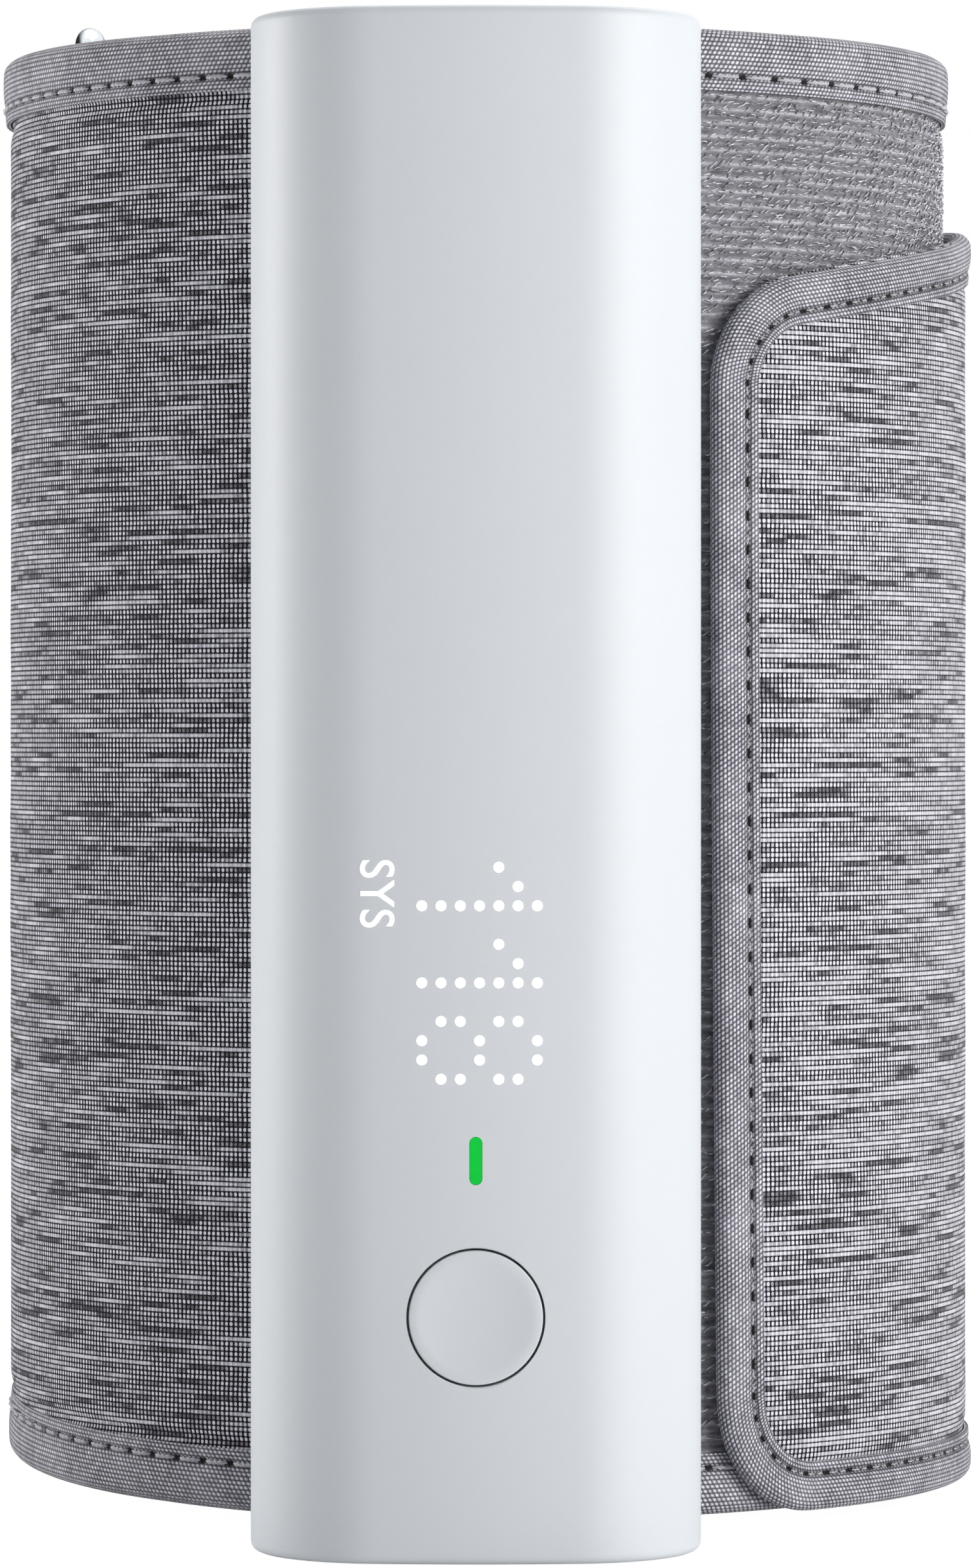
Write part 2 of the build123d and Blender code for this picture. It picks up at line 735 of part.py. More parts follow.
with BuildPart() as pump_diaphragm:
    disc(pump_x, pump_y, motor_radius, head_top, sheet_top)
    with BuildSketch(Plane.XY.offset(sheet_top)):
        with Locations((pump_x, pump_y)):
            with PolarLocations(pump_cup_circle, pump_cups):
                Circle(pump_cup_diameter / 2)
    extrude(amount=pump_cup_height)
    with BuildSketch(Plane.XY.offset(head_top)):
        with Locations((pump_x, pump_y)):
            with PolarLocations(pump_cup_circle, pump_cups):
                Circle(pump_cup_diameter / 2 - pump_cup_wall)
    extrude(amount=diaphragm_thickness + pump_cup_height - pump_cup_wall, mode=Mode.SUBTRACT)
write(pump_diaphragm, "pump_diaphragm")

with BuildPart() as pump_base:
    disc(pump_x, pump_y, motor_radius, sheet_top, base_top)
    disc(pump_x, pump_y, motor_radius - pump_base_wall, sheet_top, base_top, mode=Mode.SUBTRACT)
write(pump_base, "pump_base")

with BuildPart() as pump_rocker:
    disc(pump_x, pump_y, rocker_diameter / 2, cup_top, rocker_top)
    disc(pump_x, pump_y, rocker_stem_diameter / 2, rocker_top, crank_bottom - moving_gap)
write(pump_rocker, "pump_rocker")

shaft_radius = shaft_diameter / 2
with BuildPart() as pump_crank:
    disc(pump_x, pump_y, crank_diameter / 2, crank_bottom, crank_top)
    disc(pump_x, pump_y, shaft_radius, crank_bottom, crank_top, mode=Mode.SUBTRACT)
    disc(pump_x + crank_throw, pump_y, rocker_stem_diameter / 2, crank_bottom, crank_top, mode=Mode.SUBTRACT)
write(pump_crank, "pump_crank")

armature_bottom = base_top + 2 * motor_wall + moving_gap
armature_top = armature_bottom + armature_length
with BuildPart() as pump_rotor:
    disc(pump_x, pump_y, armature_diameter / 2, armature_bottom, armature_top)
    with BuildSketch(Plane.XY.offset(armature_bottom)):
        with Locations((pump_x, pump_y)):
            with PolarLocations(armature_diameter / 2, armature_poles):
                Rectangle(armature_diameter / 2, armature_slot)
    extrude(amount=armature_length, mode=Mode.SUBTRACT)
    disc(pump_x, pump_y, commutator_diameter / 2, armature_top, armature_top + commutator_length)
    disc(pump_x, pump_y, shaft_radius, crank_bottom, can_top - motor_wall / 2)
write(pump_rotor, "pump_rotor")

bearing_radius = shaft_radius + shaft_gap
plate_top = base_top + motor_wall
with BuildPart() as motor_can:
    disc(pump_x, pump_y, motor_radius, plate_top, can_top)
    disc(pump_x, pump_y, motor_radius - motor_wall, plate_top, can_top - motor_wall, mode=Mode.SUBTRACT)
    disc(pump_x, pump_y, bearing_radius, can_top - motor_wall, can_top, mode=Mode.SUBTRACT)
write(motor_can, "motor_can")

with BuildPart() as motor_end_plate:
    disc(pump_x, pump_y, motor_radius, base_top, plate_top)
    disc(pump_x, pump_y, bearing_radius, base_top, plate_top, mode=Mode.SUBTRACT)
write(motor_end_plate, "motor_end_plate")

magnet_outer = motor_radius - motor_wall - close_gap
with BuildPart() as motor_magnets:
    for turn in range(magnets):
        start = 360 * turn / magnets - magnet_angle / 2
        layer(
            magnet_outer - magnet_thickness, magnet_outer, start, start + magnet_angle,
            armature_bottom, armature_top, centre=Vector(pump_x, pump_y),
        )
write(motor_magnets, "motor_magnets")

mount_top = can_top - motor_wall
mount_radius = motor_radius + close_gap
with BuildPart() as motor_mount:
    disc(pump_x, pump_y, mount_radius + motor_mount_wall, mount_top - motor_mount_length, mount_top)
    disc(pump_x, pump_y, mount_radius, mount_top - motor_mount_length, mount_top, mode=Mode.SUBTRACT)
write(motor_mount, "motor_mount")

# ------------------------------------------------------------------ valve
# Held open by its spring. The coil pulls the plunger down onto the seat, in the bottom plate of the frame.
seat_height = deck_height + valve_plate
valve_top = deck_height + valve_height
plunger_bottom = seat_height + valve_travel + close_gap
neck_top = plunger_bottom + valve_neck_length
valve_bore = valve_plunger_diameter / 2 + shaft_gap
with BuildPart() as valve_frame:
    for inner_width, bottom, top, mode in (
        (valve_width, deck_height, valve_top, Mode.ADD),
        (valve_width - 2 * valve_side, seat_height, valve_top - valve_plate, Mode.SUBTRACT),
    ):
        with BuildSketch(Plane.XY.offset(bottom)):
            with Locations((valve_x, nipple_y)):
                Rectangle(inner_width, valve_depth)
        extrude(amount=top - bottom, mode=mode)
    disc(valve_x, nipple_y, valve_bore, valve_top - valve_plate, valve_top, mode=Mode.SUBTRACT)
    disc(valve_x, nipple_y, nipple_radius, nozzle_bottom, deck_height)
    disc(valve_x, nipple_y, channel_radius, nozzle_bottom, seat_height, mode=Mode.SUBTRACT)
write(valve_frame, "valve_frame")

with BuildPart() as valve_coil:
    disc(valve_x, nipple_y, valve_coil_diameter / 2, seat_height, valve_top - valve_plate)
    disc(valve_x, nipple_y, valve_bore, seat_height, valve_top - valve_plate, mode=Mode.SUBTRACT)
write(valve_coil, "valve_coil")

with BuildPart() as valve_plunger:
    disc(valve_x, nipple_y, valve_neck_diameter / 2, plunger_bottom, neck_top)
    disc(valve_x, nipple_y, valve_plunger_diameter / 2, neck_top, valve_top + valve_travel)
write(valve_plunger, "valve_plunger")

spring_bottom = seat_height + close_gap + valve_spring_wire / 2
spring_height = neck_top - close_gap - valve_spring_wire / 2 - spring_bottom
spring_line = Pos(valve_x, nipple_y, spring_bottom) * Helix(
    spring_height / valve_spring_turns, spring_height, valve_spring_diameter / 2
)
with BuildPart() as valve_spring:
    with BuildSketch(Plane(origin=spring_line @ 0, z_dir=spring_line % 0)):
        Circle(valve_spring_wire / 2)
    sweep(path=spring_line, is_frenet=True)
write(valve_spring, "valve_spring")

# ------------------------------------------------------------------ fixing of the cuff to the tube
with BuildPart() as saddle:
    with BuildSketch(Plane.XY.offset(saddle_inset)):
        with Locations((0, (tube_back + roll.Y) / 2)):
            Rectangle(saddle_width, roll.Y - tube_back)
        with Locations((roll.X, roll.Y)):
            Circle(cuff_radius + skin_gap, mode=Mode.SUBTRACT)
    extrude(amount=saddle_top - saddle_inset)
    rod(0, port_height, port_diameter / 2 + close_gap, 0, roll.Y, mode=Mode.SUBTRACT)
    screw_holes(cuff_screw_diameter / 2 + screw_gap, 0, roll.Y)
write(saddle, "saddle")

clamp_heading = degrees(asin(clamp_width / 2 / clamp_outer))
screw_head_face = roll.Y - sqrt(clamp_inner**2 - (cuff_screw_x - cuff_screw_head / 2) ** 2)
screw_head_seat = screw_head_face - cuff_screw_head_height
with BuildPart() as clamp_plate:
    layer(clamp_inner, clamp_outer, -clamp_heading, clamp_heading, clamp_bottom, clamp_top)
    rod(0, port_height, port_diameter / 2 + close_gap, 0, roll.Y, mode=Mode.SUBTRACT)
    screw_holes(cuff_screw_diameter / 2 + screw_gap, 0, roll.Y)
    screw_holes(cuff_screw_head / 2 + screw_gap, screw_head_seat, roll.Y)
write(clamp_plate, "clamp_plate")

with BuildPart() as cuff_screws:
    for x, z in cuff_screw_places:
        rod(x, z, cuff_screw_diameter / 2, chassis_floor, screw_head_seat)
        rod(x, z, cuff_screw_head / 2, screw_head_seat, screw_head_face)
write(cuff_screws, "cuff_screws")

# ------------------------------------------------------------------ cuff
with BuildPart() as right_panel:
    layer(panel_inner, cuff_radius, seam_half, right_end, cloth_bottom, cloth_top)
    rod(0, port_height, port_diameter / 2 + rigid_gap, 0, roll.Y, mode=Mode.SUBTRACT)
    screw_holes(cuff_screw_diameter / 2 + rigid_gap, 0, roll.Y)
write(right_panel, "right_panel")

left_edge = tilt(0, cuff_bottom, -180, left_bottom_at_back, cuff_radius)
left_cloth_edge = left_edge.offset(binding_thickness)
with BuildPart() as left_panel:
    layer(panel_inner, cuff_radius, left_end, -seam_half, 0, cloth_top)
    split(bisect_by=left_cloth_edge, keep=Keep.TOP)
    rod(0, port_height, port_diameter / 2 + rigid_gap, 0, roll.Y, mode=Mode.SUBTRACT)
    screw_holes(cuff_screw_diameter / 2 + rigid_gap, 0, roll.Y)
write(left_panel, "left_panel")

clamp_room = 2 * (clamp_width / 2 + rigid_gap)
clamp_room_height = clamp_top - clamp_bottom + 2 * rigid_gap
clamp_room_bottom = clamp_bottom - rigid_gap
with BuildPart() as cuff_stiffener:
    stiffener_bottom = cuff_bottom + stiffener_margin
    stiffener_top = cuff_top - stiffener_margin
    layer(
        stiffener_inner, stiffener_outer, stiffener_start, stiffener_end, stiffener_bottom, stiffener_top,
    )
    with BuildSketch(Plane.XY.offset(clamp_room_bottom)):
        with Locations((roll.X, roll.Y - cuff_radius)):
            Rectangle(clamp_room, cuff_radius)
    extrude(amount=clamp_room_height, mode=Mode.SUBTRACT)
write(cuff_stiffener, "cuff_stiffener")

with BuildPart() as cuff_liner:
    crowned(liner_inner, liner_outer, left_end, 0, outer_crown=liner_crown)
    split(bisect_by=left_cloth_edge, keep=Keep.TOP)
    crowned(liner_inner, liner_outer, 0, right_end, outer_crown=liner_crown)
write(cuff_liner, "cuff_liner")

with BuildPart() as bladder:
    crowned(panel_inner, cuff_radius, bladder_start, bladder_end)
    with BuildSketch(Plane.XY.offset(cuff_bottom + bladder_margin)):
        with Locations((roll.X, roll.Y)):
            Circle(bladder_outer)
    extrude(amount=cuff_top - cuff_bottom - 2 * bladder_margin, mode=Mode.INTERSECT)
    with BuildSketch(Plane.XY.offset(clamp_room_bottom)):
        with Locations((roll.X, roll.Y - cuff_radius)):
            Rectangle(clamp_room, cuff_radius)
        with Locations((roll.X, roll.Y)):
            Circle(clamp_inner - skin_gap, mode=Mode.SUBTRACT)
    extrude(amount=clamp_room_height, mode=Mode.SUBTRACT)
write(bladder, "bladder")

# Everything that each binding is folded over, from the cloth to the lining.
with BuildPart() as left_layers:
    crowned(liner_inner, cuff_radius, left_end, -seam_half)
    split(bisect_by=left_cloth_edge, keep=Keep.TOP)

with BuildPart() as right_layers:
    crowned(liner_inner, cuff_radius, seam_half, right_end)

with BuildPart() as left_binding_top:
    layer(binding_inner, binding_outer, left_end, -seam_half, cuff_top - binding_width, cuff_top)
    add(left_layers.part, mode=Mode.SUBTRACT)
write(left_binding_top, "left_binding_top")

with BuildPart() as left_binding_bottom:
    layer(binding_inner, binding_outer, left_end, -seam_half, 0, cuff_top)
    split(bisect_by=left_edge, keep=Keep.TOP)
    split(bisect_by=left_edge.offset(binding_width), keep=Keep.BOTTOM)
    add(left_layers.part, mode=Mode.SUBTRACT)
write(left_binding_bottom, "left_binding_bottom")

with BuildPart() as right_binding_top:
    layer(binding_inner, binding_outer, seam_half, right_end, cuff_top - binding_width, cuff_top)
    add(right_layers.part, mode=Mode.SUBTRACT)
write(right_binding_top, "right_binding_top")

with BuildPart() as right_binding_bottom:
    layer(binding_inner, binding_outer, seam_half, right_end, cuff_bottom, cuff_bottom + binding_width)
    add(right_layers.part, mode=Mode.SUBTRACT)
write(right_binding_bottom, "right_binding_bottom")

# ------------------------------------------------------------------ ring and its hem
# The ring is a long loop of wire. One long side lies in the hem, and the strap folds round the other.
ring_radius = ring_wire / 2
ring_reach = ring_width - ring_wire
hem_bore = ring_radius + shaft_gap
hem_outer = hem_bore + panel_thickness
hem_distance = panel_inner - hem_bore
hem_wire = around(roll, hem_distance, ring_hem_heading)
fold_wire = around(hem_wire, ring_reach, ring_heading)
ring_middle = (hem_wire + fold_wire) / 2
ring_plane = Plane(
    origin=(ring_middle.X, ring_middle.Y, (ring_bottom + ring_top) / 2),
    x_dir=fold_wire - hem_wire,
    z_dir=(fold_wire - hem_wire).cross(Vector(0, 0, 1)),
)
with BuildSketch(ring_plane) as ring_outline:
    RectangleRounded(ring_reach, ring_top - ring_bottom - ring_wire, ring_corner)
ring_line = ring_outline.sketch.face().outer_wire()
with BuildPart() as metal_ring:
    with BuildSketch(Plane(origin=ring_line @ 0, z_dir=ring_line % 0)):
        Circle(ring_radius)
    sweep(path=ring_line)
write(metal_ring, "metal_ring")

hem_start = left_end - 2 * seam_half
hem_bottom = ring_bottom + ring_radius + ring_corner
with BuildPart() as ring_hem:
    with BuildSketch(Plane.XY.offset(hem_bottom)):
        with BuildLine():
            arc(roll, hem_distance + hem_outer, hem_start, ring_hem_heading)
            arc(hem_wire, hem_outer, ring_hem_heading, ring_hem_heading - 180)
            arc(roll, hem_distance - hem_outer, ring_hem_heading, hem_start)
            spoke(roll, hem_distance - hem_outer, hem_distance - hem_bore, hem_start)
            arc(roll, hem_distance - hem_bore, hem_start, ring_hem_heading)
            arc(hem_wire, hem_bore, ring_hem_heading - 180, ring_hem_heading)
            arc(roll, hem_distance + hem_bore, ring_hem_heading, hem_start)
            spoke(roll, hem_distance + hem_bore, hem_distance + hem_outer, hem_start)
        make_face()
    extrude(amount=cloth_top - hem_bottom)
write(ring_hem, "ring_hem")

# ------------------------------------------------------------------ strap
# It starts at the right part's end, passes through the ring, folds round its outer wire and comes back
# outside. The part that comes back leaves the ring on a larger arc, which meets the cuff's own arc smoothly.
fold_inner = ring_radius + ring_swing_room
fold_outer = fold_inner + strap_thickness
fold_distance = (fold_wire - roll).length
fold_heading = heading_of(roll, fold_wire)
away = radians(fold_heading - strap_leaves)
return_reach = strap_inner - fold_inner
return_shift = (fold_distance**2 - return_reach**2) / (2 * (return_reach - fold_distance * cos(away)))
return_centre = around(roll, return_shift, strap_leaves + 180)
return_inner = strap_inner + return_shift
return_outer = strap_outer + return_shift
return_end = heading_of(return_centre, fold_wire)
leg_inner = fold_distance - fold_outer
leg_outer = fold_distance - fold_inner
leg_start = right_end + 2 * seam_half
strap_top_edge = tilt(flap_hinge, flap_hinge_top, fold_heading, strap_fold_top, strap_outer)
strap_bottom_edge = tilt(flap_hinge, flap_bottom, fold_heading, strap_fold_bottom, strap_outer)
with BuildPart() as strap:
    with BuildSketch():
        with BuildLine():
            arc(roll, strap_outer, strap_start, strap_leaves)
            arc(return_centre, return_outer, strap_leaves, return_end)
            arc(fold_wire, fold_outer, return_end, fold_heading + 180)
            arc(roll, leg_inner, fold_heading, leg_start)
            spoke(roll, leg_inner, leg_outer, leg_start)
            arc(roll, leg_outer, leg_start, fold_heading)
            arc(fold_wire, fold_inner, fold_heading + 180, return_end)
            arc(return_centre, return_inner, return_end, strap_leaves)
            arc(roll, strap_inner, strap_leaves, strap_start)
            spoke(roll, strap_inner, strap_outer, strap_start)
        make_face()
    extrude(amount=cuff_top)
    split(bisect_by=strap_top_edge.offset(-flap_binding_inset), keep=Keep.BOTTOM)
    split(bisect_by=strap_bottom_edge.offset(flap_binding_inset), keep=Keep.TOP)
write(strap, "strap")


def strap_tape():
    """Tape as tall as the cuff along the strap's outer run, from the hinge line to the fold."""
    layer(flap_binding_inner, hinge_radius, strap_start, strap_leaves, 0, cuff_top)
    shifted_inner = flap_binding_inner + return_shift
    shifted_outer = hinge_radius + return_shift
    layer(shifted_inner, shifted_outer, strap_leaves, return_end, 0, cuff_top, centre=return_centre)


with BuildPart() as strap_binding_top:
    strap_tape()
    split(bisect_by=strap_top_edge, keep=Keep.BOTTOM)
    split(bisect_by=strap_top_edge.offset(-flap_binding_width), keep=Keep.TOP)
    add(strap.part, mode=Mode.SUBTRACT)
write(strap_binding_top, "strap_binding_top")

with BuildPart() as strap_binding_bottom:
    strap_tape()
    split(bisect_by=strap_bottom_edge, keep=Keep.TOP)
    split(bisect_by=strap_bottom_edge.offset(flap_binding_width), keep=Keep.BOTTOM)
    add(strap.part, mode=Mode.SUBTRACT)
write(strap_binding_bottom, "strap_binding_bottom")

# ------------------------------------------------------------------ flap
flap_face = Plane(
    origin=(roll.X, roll.Y, 0),
    x_dir=around(Vector(0, 0), 1, flap_face_heading + 90),
    z_dir=around(Vector(0, 0), 1, flap_face_heading),
)
flap_tip_reach = strap_outer * sin(radians(flap_tip - flap_face_heading))
flap_hinge_reach = strap_outer * sin(radians(flap_hinge - flap_face_heading))
flap_rise = (flap_hinge_top - flap_tip_top) / (flap_hinge_reach - flap_tip_reach)
flap_start = flap_tip - degrees(rigid_gap / strap_outer)


def flap_outline(inset, mode):
    """Everything inside the flap's outline as seen square to its tip, drawn inwards by an inset."""
    tip = flap_tip_reach + inset
    far = hinge_radius
    top = flap_tip_top + inset * (flap_rise - sqrt(1 + flap_rise**2))
    far_top = top + flap_rise * (far - tip)
    bottom = flap_bottom + inset
    with BuildSketch(flap_face) as outline:
        with BuildLine():
            Polyline((tip, bottom), (far, bottom), (far, far_top), (tip, top), close=True)
        make_face()
        fillet(outline.vertices().group_by(Axis.X)[0], radius=flap_corner - inset)
    extrude(outline.sketch, amount=hinge_radius, mode=mode)


with BuildPart() as flap_panel:
    layer(flap_cloth_inner, strap_outer, flap_start, flap_end, 0, cuff_top)
    flap_outline(flap_binding_inset, Mode.INTERSECT)
write(flap_panel, "flap_panel")

with BuildPart() as flap_binding:
    layer(flap_binding_inner, hinge_radius, flap_start, flap_end, 0, cuff_top)
    flap_outline(0, Mode.INTERSECT)
    flap_outline(flap_binding_width, Mode.SUBTRACT)
    add(flap_panel.part, mode=Mode.SUBTRACT)
write(flap_binding, "flap_binding")

with BuildPart() as hook_tape:
    tape_end = flap_end - degrees(hook_end_gap / strap_outer)
    layer(strap_inner, strap_inner + hook_thickness, flap_start, tape_end, 0, cuff_top)
    flap_outline(hook_inset, Mode.INTERSECT)
write(hook_tape, "hook_tape")
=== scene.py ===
import bpy
import numpy as np
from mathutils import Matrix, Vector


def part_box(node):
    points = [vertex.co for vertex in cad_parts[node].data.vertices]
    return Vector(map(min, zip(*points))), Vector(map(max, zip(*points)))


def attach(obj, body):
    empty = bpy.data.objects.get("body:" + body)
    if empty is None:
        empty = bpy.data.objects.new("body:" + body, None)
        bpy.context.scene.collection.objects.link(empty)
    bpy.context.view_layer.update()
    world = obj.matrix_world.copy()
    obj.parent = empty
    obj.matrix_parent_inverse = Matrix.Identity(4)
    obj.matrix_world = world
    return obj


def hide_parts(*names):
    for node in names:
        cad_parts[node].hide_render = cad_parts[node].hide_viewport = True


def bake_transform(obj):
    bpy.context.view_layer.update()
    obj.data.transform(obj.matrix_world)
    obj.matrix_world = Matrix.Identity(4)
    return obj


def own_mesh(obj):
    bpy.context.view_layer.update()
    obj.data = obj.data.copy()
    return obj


# Upper-arm blood pressure monitor. Metres. The display faces -Y, and the cuff is rolled behind the tube.
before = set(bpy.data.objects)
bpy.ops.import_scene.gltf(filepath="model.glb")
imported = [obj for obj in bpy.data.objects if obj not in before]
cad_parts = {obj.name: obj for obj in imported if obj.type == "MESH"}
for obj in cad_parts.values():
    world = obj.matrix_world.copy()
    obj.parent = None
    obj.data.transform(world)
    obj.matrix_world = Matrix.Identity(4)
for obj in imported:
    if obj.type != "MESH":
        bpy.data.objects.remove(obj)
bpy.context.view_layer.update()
mm = 0.001

# ---------------------------------------------------------------- camera
# Level, in front of the tube and at the middle of its height. The lens is long, so that near and far parts
# keep nearly the same size.
camera_distance = 714.5 * mm  # in front of the tube's axis
camera_height = 83.65 * mm
focal_length = 10773  # pixels
frame_long_side = 2441
tube_left_of_centre = 15
horizon_above_centre = 70.5


def added(name, data):
    """New object in the scene, from its data."""
    made = bpy.data.objects.new(name, data)
    bpy.context.scene.collection.objects.link(made)
    return made


camera = added("camera", bpy.data.cameras.new("camera"))
bpy.context.scene.camera = camera
camera.location = (0, -camera_distance, camera_height)
camera.rotation_euler = (np.pi / 2, 0, 0)
camera.data.lens = focal_length * camera.data.sensor_width / frame_long_side
camera.data.shift_x = tube_left_of_centre / frame_long_side
camera.data.shift_y = -horizon_above_centre / frame_long_side

# ---------------------------------------------------------------- tube sleeve
# The housing: one extruded oval with a slightly crowned front and a flat back, painted satin silver-white.
# Its ends are rounded over, and the button's hole has a fine chamfer.
tube_low, tube_high = (np.array(corner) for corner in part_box("tube_sleeve"))
tube_height = tube_high[2]
tube_back = tube_high[1]
half_depth = -tube_low[1]
side_radius = 14 * mm
side_centre = tube_high[0] - side_radius
crown = side_centre**2 / (2 * (half_depth - side_radius)) + (half_depth + side_radius) / 2
crown_angle = np.arcsin(side_centre / (crown - side_radius))
tube_wall = 1.8 * mm
end_round = 1.0 * mm
button_height = 25.05 * mm
button_radius = 6.8 * mm
groove = 0.25 * mm
chamfer = 0.13 * mm
status_height = 40.93 * mm
status_length = 4.9 * mm
status_width = 1.34 * mm
silver_white = (0.7, 0.733, 0.778)
sharp_angle = np.radians(35)  # edges bent by more than this stay sharp


def put(tree, kind, *inputs, **settings):
    """New shader node. Each input is a socket to link from, a value to set, or None to leave as it is."""
    node = tree.nodes.new("ShaderNode" + kind)
    for name, value in settings.items():
        setattr(node, name, value)
    for socket, value in zip(node.inputs, inputs):
        if isinstance(value, bpy.types.NodeSocket):
            tree.links.new(value, socket)
        elif value is not None:
            socket.default_value = value
    return node.outputs[0]


def finish_of(name, colour, roughness, **sockets):
    """New material with one shader, and the values that are the same all over on its own sockets."""
    material = bpy.data.materials.new(name)
    material.use_nodes = True
    shader = material.node_tree.nodes["Principled BSDF"]
    shader.inputs["Base Color"].default_value = (*colour, 1)
    shader.inputs["Roughness"].default_value = roughness
    for socket, value in sockets.items():
        shader.inputs[socket.replace("_", " ")].default_value = value
    return material, material.node_tree, shader


def object_place(tree):
    """Socket with the place of a point on its own object, in metres."""
    return tree.nodes.new("ShaderNodeTexCoord").outputs["Object"]


def tinted(tree, shader, shade, dark, light, socket="Base Color"):
    """Colour on a shader that goes from dark to light as the shade goes from 0 to 1."""
    tree.links.new(put(tree, "MixRGB", shade, (*dark, 1), (*light, 1)), shader.inputs[socket])


def spread(tree, value, low, high, first=0.0, last=1.0):
    """Value spread so that low gives first and high gives last, and held beyond them."""
    return put(tree, "MapRange", value, low, high, first, last)


def relief(tree, shader, height, depth):
    """Bump on a shader, from a height between 0 and 1 and its depth in metres."""
    bump = tree.nodes.new("ShaderNodeBump")
    bump.inputs["Distance"].default_value = depth
    tree.links.new(height, bump.inputs["Height"])
    tree.links.new(bump.outputs["Normal"], shader.inputs["Normal"])


def moulded(name, colour, roughness, grain, depth, mottle=0.04, **sockets):
    """Moulded or painted finish: fine grain as bump, and faint cloudy changes of colour and gloss."""
    material, tree, shader = finish_of(name, colour, roughness, **sockets)
    place = object_place(tree)
    fine = put(tree, "TexNoise", place, None, 1 / grain, 2.0)
    relief(tree, shader, fine, depth)
    cloud = put(tree, "TexNoise", place, None, 60.0, 3.0)
    dark = tuple(channel * (1 - mottle) for channel in colour)
    light = tuple(min(1, channel * (1 + mottle)) for channel in colour)
    tinted(tree, shader, cloud, dark, light)
    gloss = spread(tree, fine, 0.3, 0.7, roughness * 0.93, min(1, roughness * 1.07))
    tree.links.new(gloss, shader.inputs["Roughness"])
    return material


def piece(name, points, faces, uv=None):
    """New mesh object from arrays of points and faces, smooth except at its sharp edges."""
    mesh = bpy.data.meshes.new(name)
    mesh.from_pydata(points.tolist(), [], faces if isinstance(faces, list) else faces.tolist())
    mesh.shade_smooth()
    mesh.set_sharp_from_angle(angle=sharp_angle)
    if uv is not None:
        corners = np.empty(len(mesh.loops), dtype=int)
        mesh.loops.foreach_get("vertex_index", corners)
        mesh.uv_layers.new(name="UVMap").data.foreach_set("uv", uv[corners].ravel())
    return added(name, mesh)


def quads(*corners):
    """Four-sided faces from four equal arrays of point numbers."""
    return np.stack(corners, axis=-1).reshape(-1, 4)


def skin(name, outer, inner, uv=None, around=False):
    """Closed skin of two grids of points, joined along their open sides. Rows run along the piece, and
    wrap round where around is true. Rows crossed with columns point out of the outer grid. The inner grid's
    map is one wall's thickness lower, so that a pattern runs on across the open sides."""
    rows, columns = outer.shape[:2]
    front = np.arange(rows * columns).reshape(rows, columns)
    if around:
        front = np.vstack([front, front[:1]])
    back = front + rows * columns
    faces = [
        quads(front[:-1, :-1], front[1:, :-1], front[1:, 1:], front[:-1, 1:]),
        quads(back[:-1, :-1], back[:-1, 1:], back[1:, 1:], back[1:, :-1]),
        quads(front[1:, 0], front[:-1, 0], back[:-1, 0], back[1:, 0]),
        quads(front[:-1, -1], front[1:, -1], back[1:, -1], back[:-1, -1]),
    ]
    if not around:
        faces.append(quads(front[0, :-1], front[0, 1:], back[0, 1:], back[0, :-1]))
        faces.append(quads(front[-1, 1:], front[-1, :-1], back[-1, :-1], back[-1, 1:]))
    points = np.concatenate([outer.reshape(-1, 3), inner.reshape(-1, 3)])
    if uv is not None:
        wall = np.linalg.norm(outer[0, 0] - inner[0, 0])
        uv = np.concatenate([uv.reshape(-1, 2), uv.reshape(-1, 2) - (0, wall)])
    return piece(name, points, np.concatenate(faces), uv)


def tubes(name, grid, ends=True):
    """Piece of tubes from a grid of points (tube, row, side): rows run along each and sides go round it, so
    that the faces point out. Each is closed by a face at both ends, or joined in a loop."""
    count, rows, sides = grid.shape[:3]
    number = np.arange(count * rows * sides).reshape(count, rows, sides)
    if not ends:
        number = np.concatenate([number, number[:, :1]], 1)
    after = np.roll(number, -1, 2)
    faces = quads(number[:, :-1], after[:, :-1], after[:, 1:], number[:, 1:]).tolist()
    if ends:
        faces += number[:, 0, ::-1].tolist() + number[:, -1].tolist()
    return piece(name, grid.reshape(-1, 3), faces)


def belongs(made, material, body="monitor"):
    """Gives a new piece its material and the body that it moves with."""
    made.data.materials.append(material)
    if body:
        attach(made, body)


def dress(material, *nodes):
    """Gives the shown solids of these nodes a material."""
    for node in nodes:
        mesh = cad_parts[node].data
        mesh.materials.clear()
        mesh.materials.append(material)


def tube_outline(inset, steps=40):
    """Closed outline (x, y) of the tube, drawn inwards: left side arc, crowned front arc, right side arc and
    flat back, each centre + radius * (sin, -cos) of an angle that is 0 at the front."""
    side = side_radius - inset
    heel = np.pi - np.arccos((tube_back - inset) / side)
    left = np.linspace(-heel, -crown_angle, steps, endpoint=False)
    middle = np.linspace(-crown_angle, crown_angle, steps, endpoint=False)
    right = np.linspace(crown_angle, heel, steps)
    turned = np.concatenate([left, middle, right])
    radius = np.repeat((side, crown - inset, side), steps)
    x = np.repeat((-side_centre, 0, side_centre), steps) + radius * np.sin(turned)
    y = np.repeat((0, crown - half_depth, 0), steps) - radius * np.cos(turned)
    across = np.linspace(x[-1], x[0], steps // 2)[1:-1]
    return np.concatenate([x, across]), np.concatenate([y, np.full_like(across, y[0])])


def front_of_tube(x):
    """Depth of the tube's front face at a distance from its middle line: the crowned arc."""
    return crown - half_depth - np.sqrt(crown**2 - x**2)


def upright(outlines, heights):
    """Grid of points from one outline for each height."""
    return np.stack([
        np.stack([x, y, np.full_like(x, height)], axis=-1) for (x, y), height in zip(outlines, heights)
    ], axis=1)


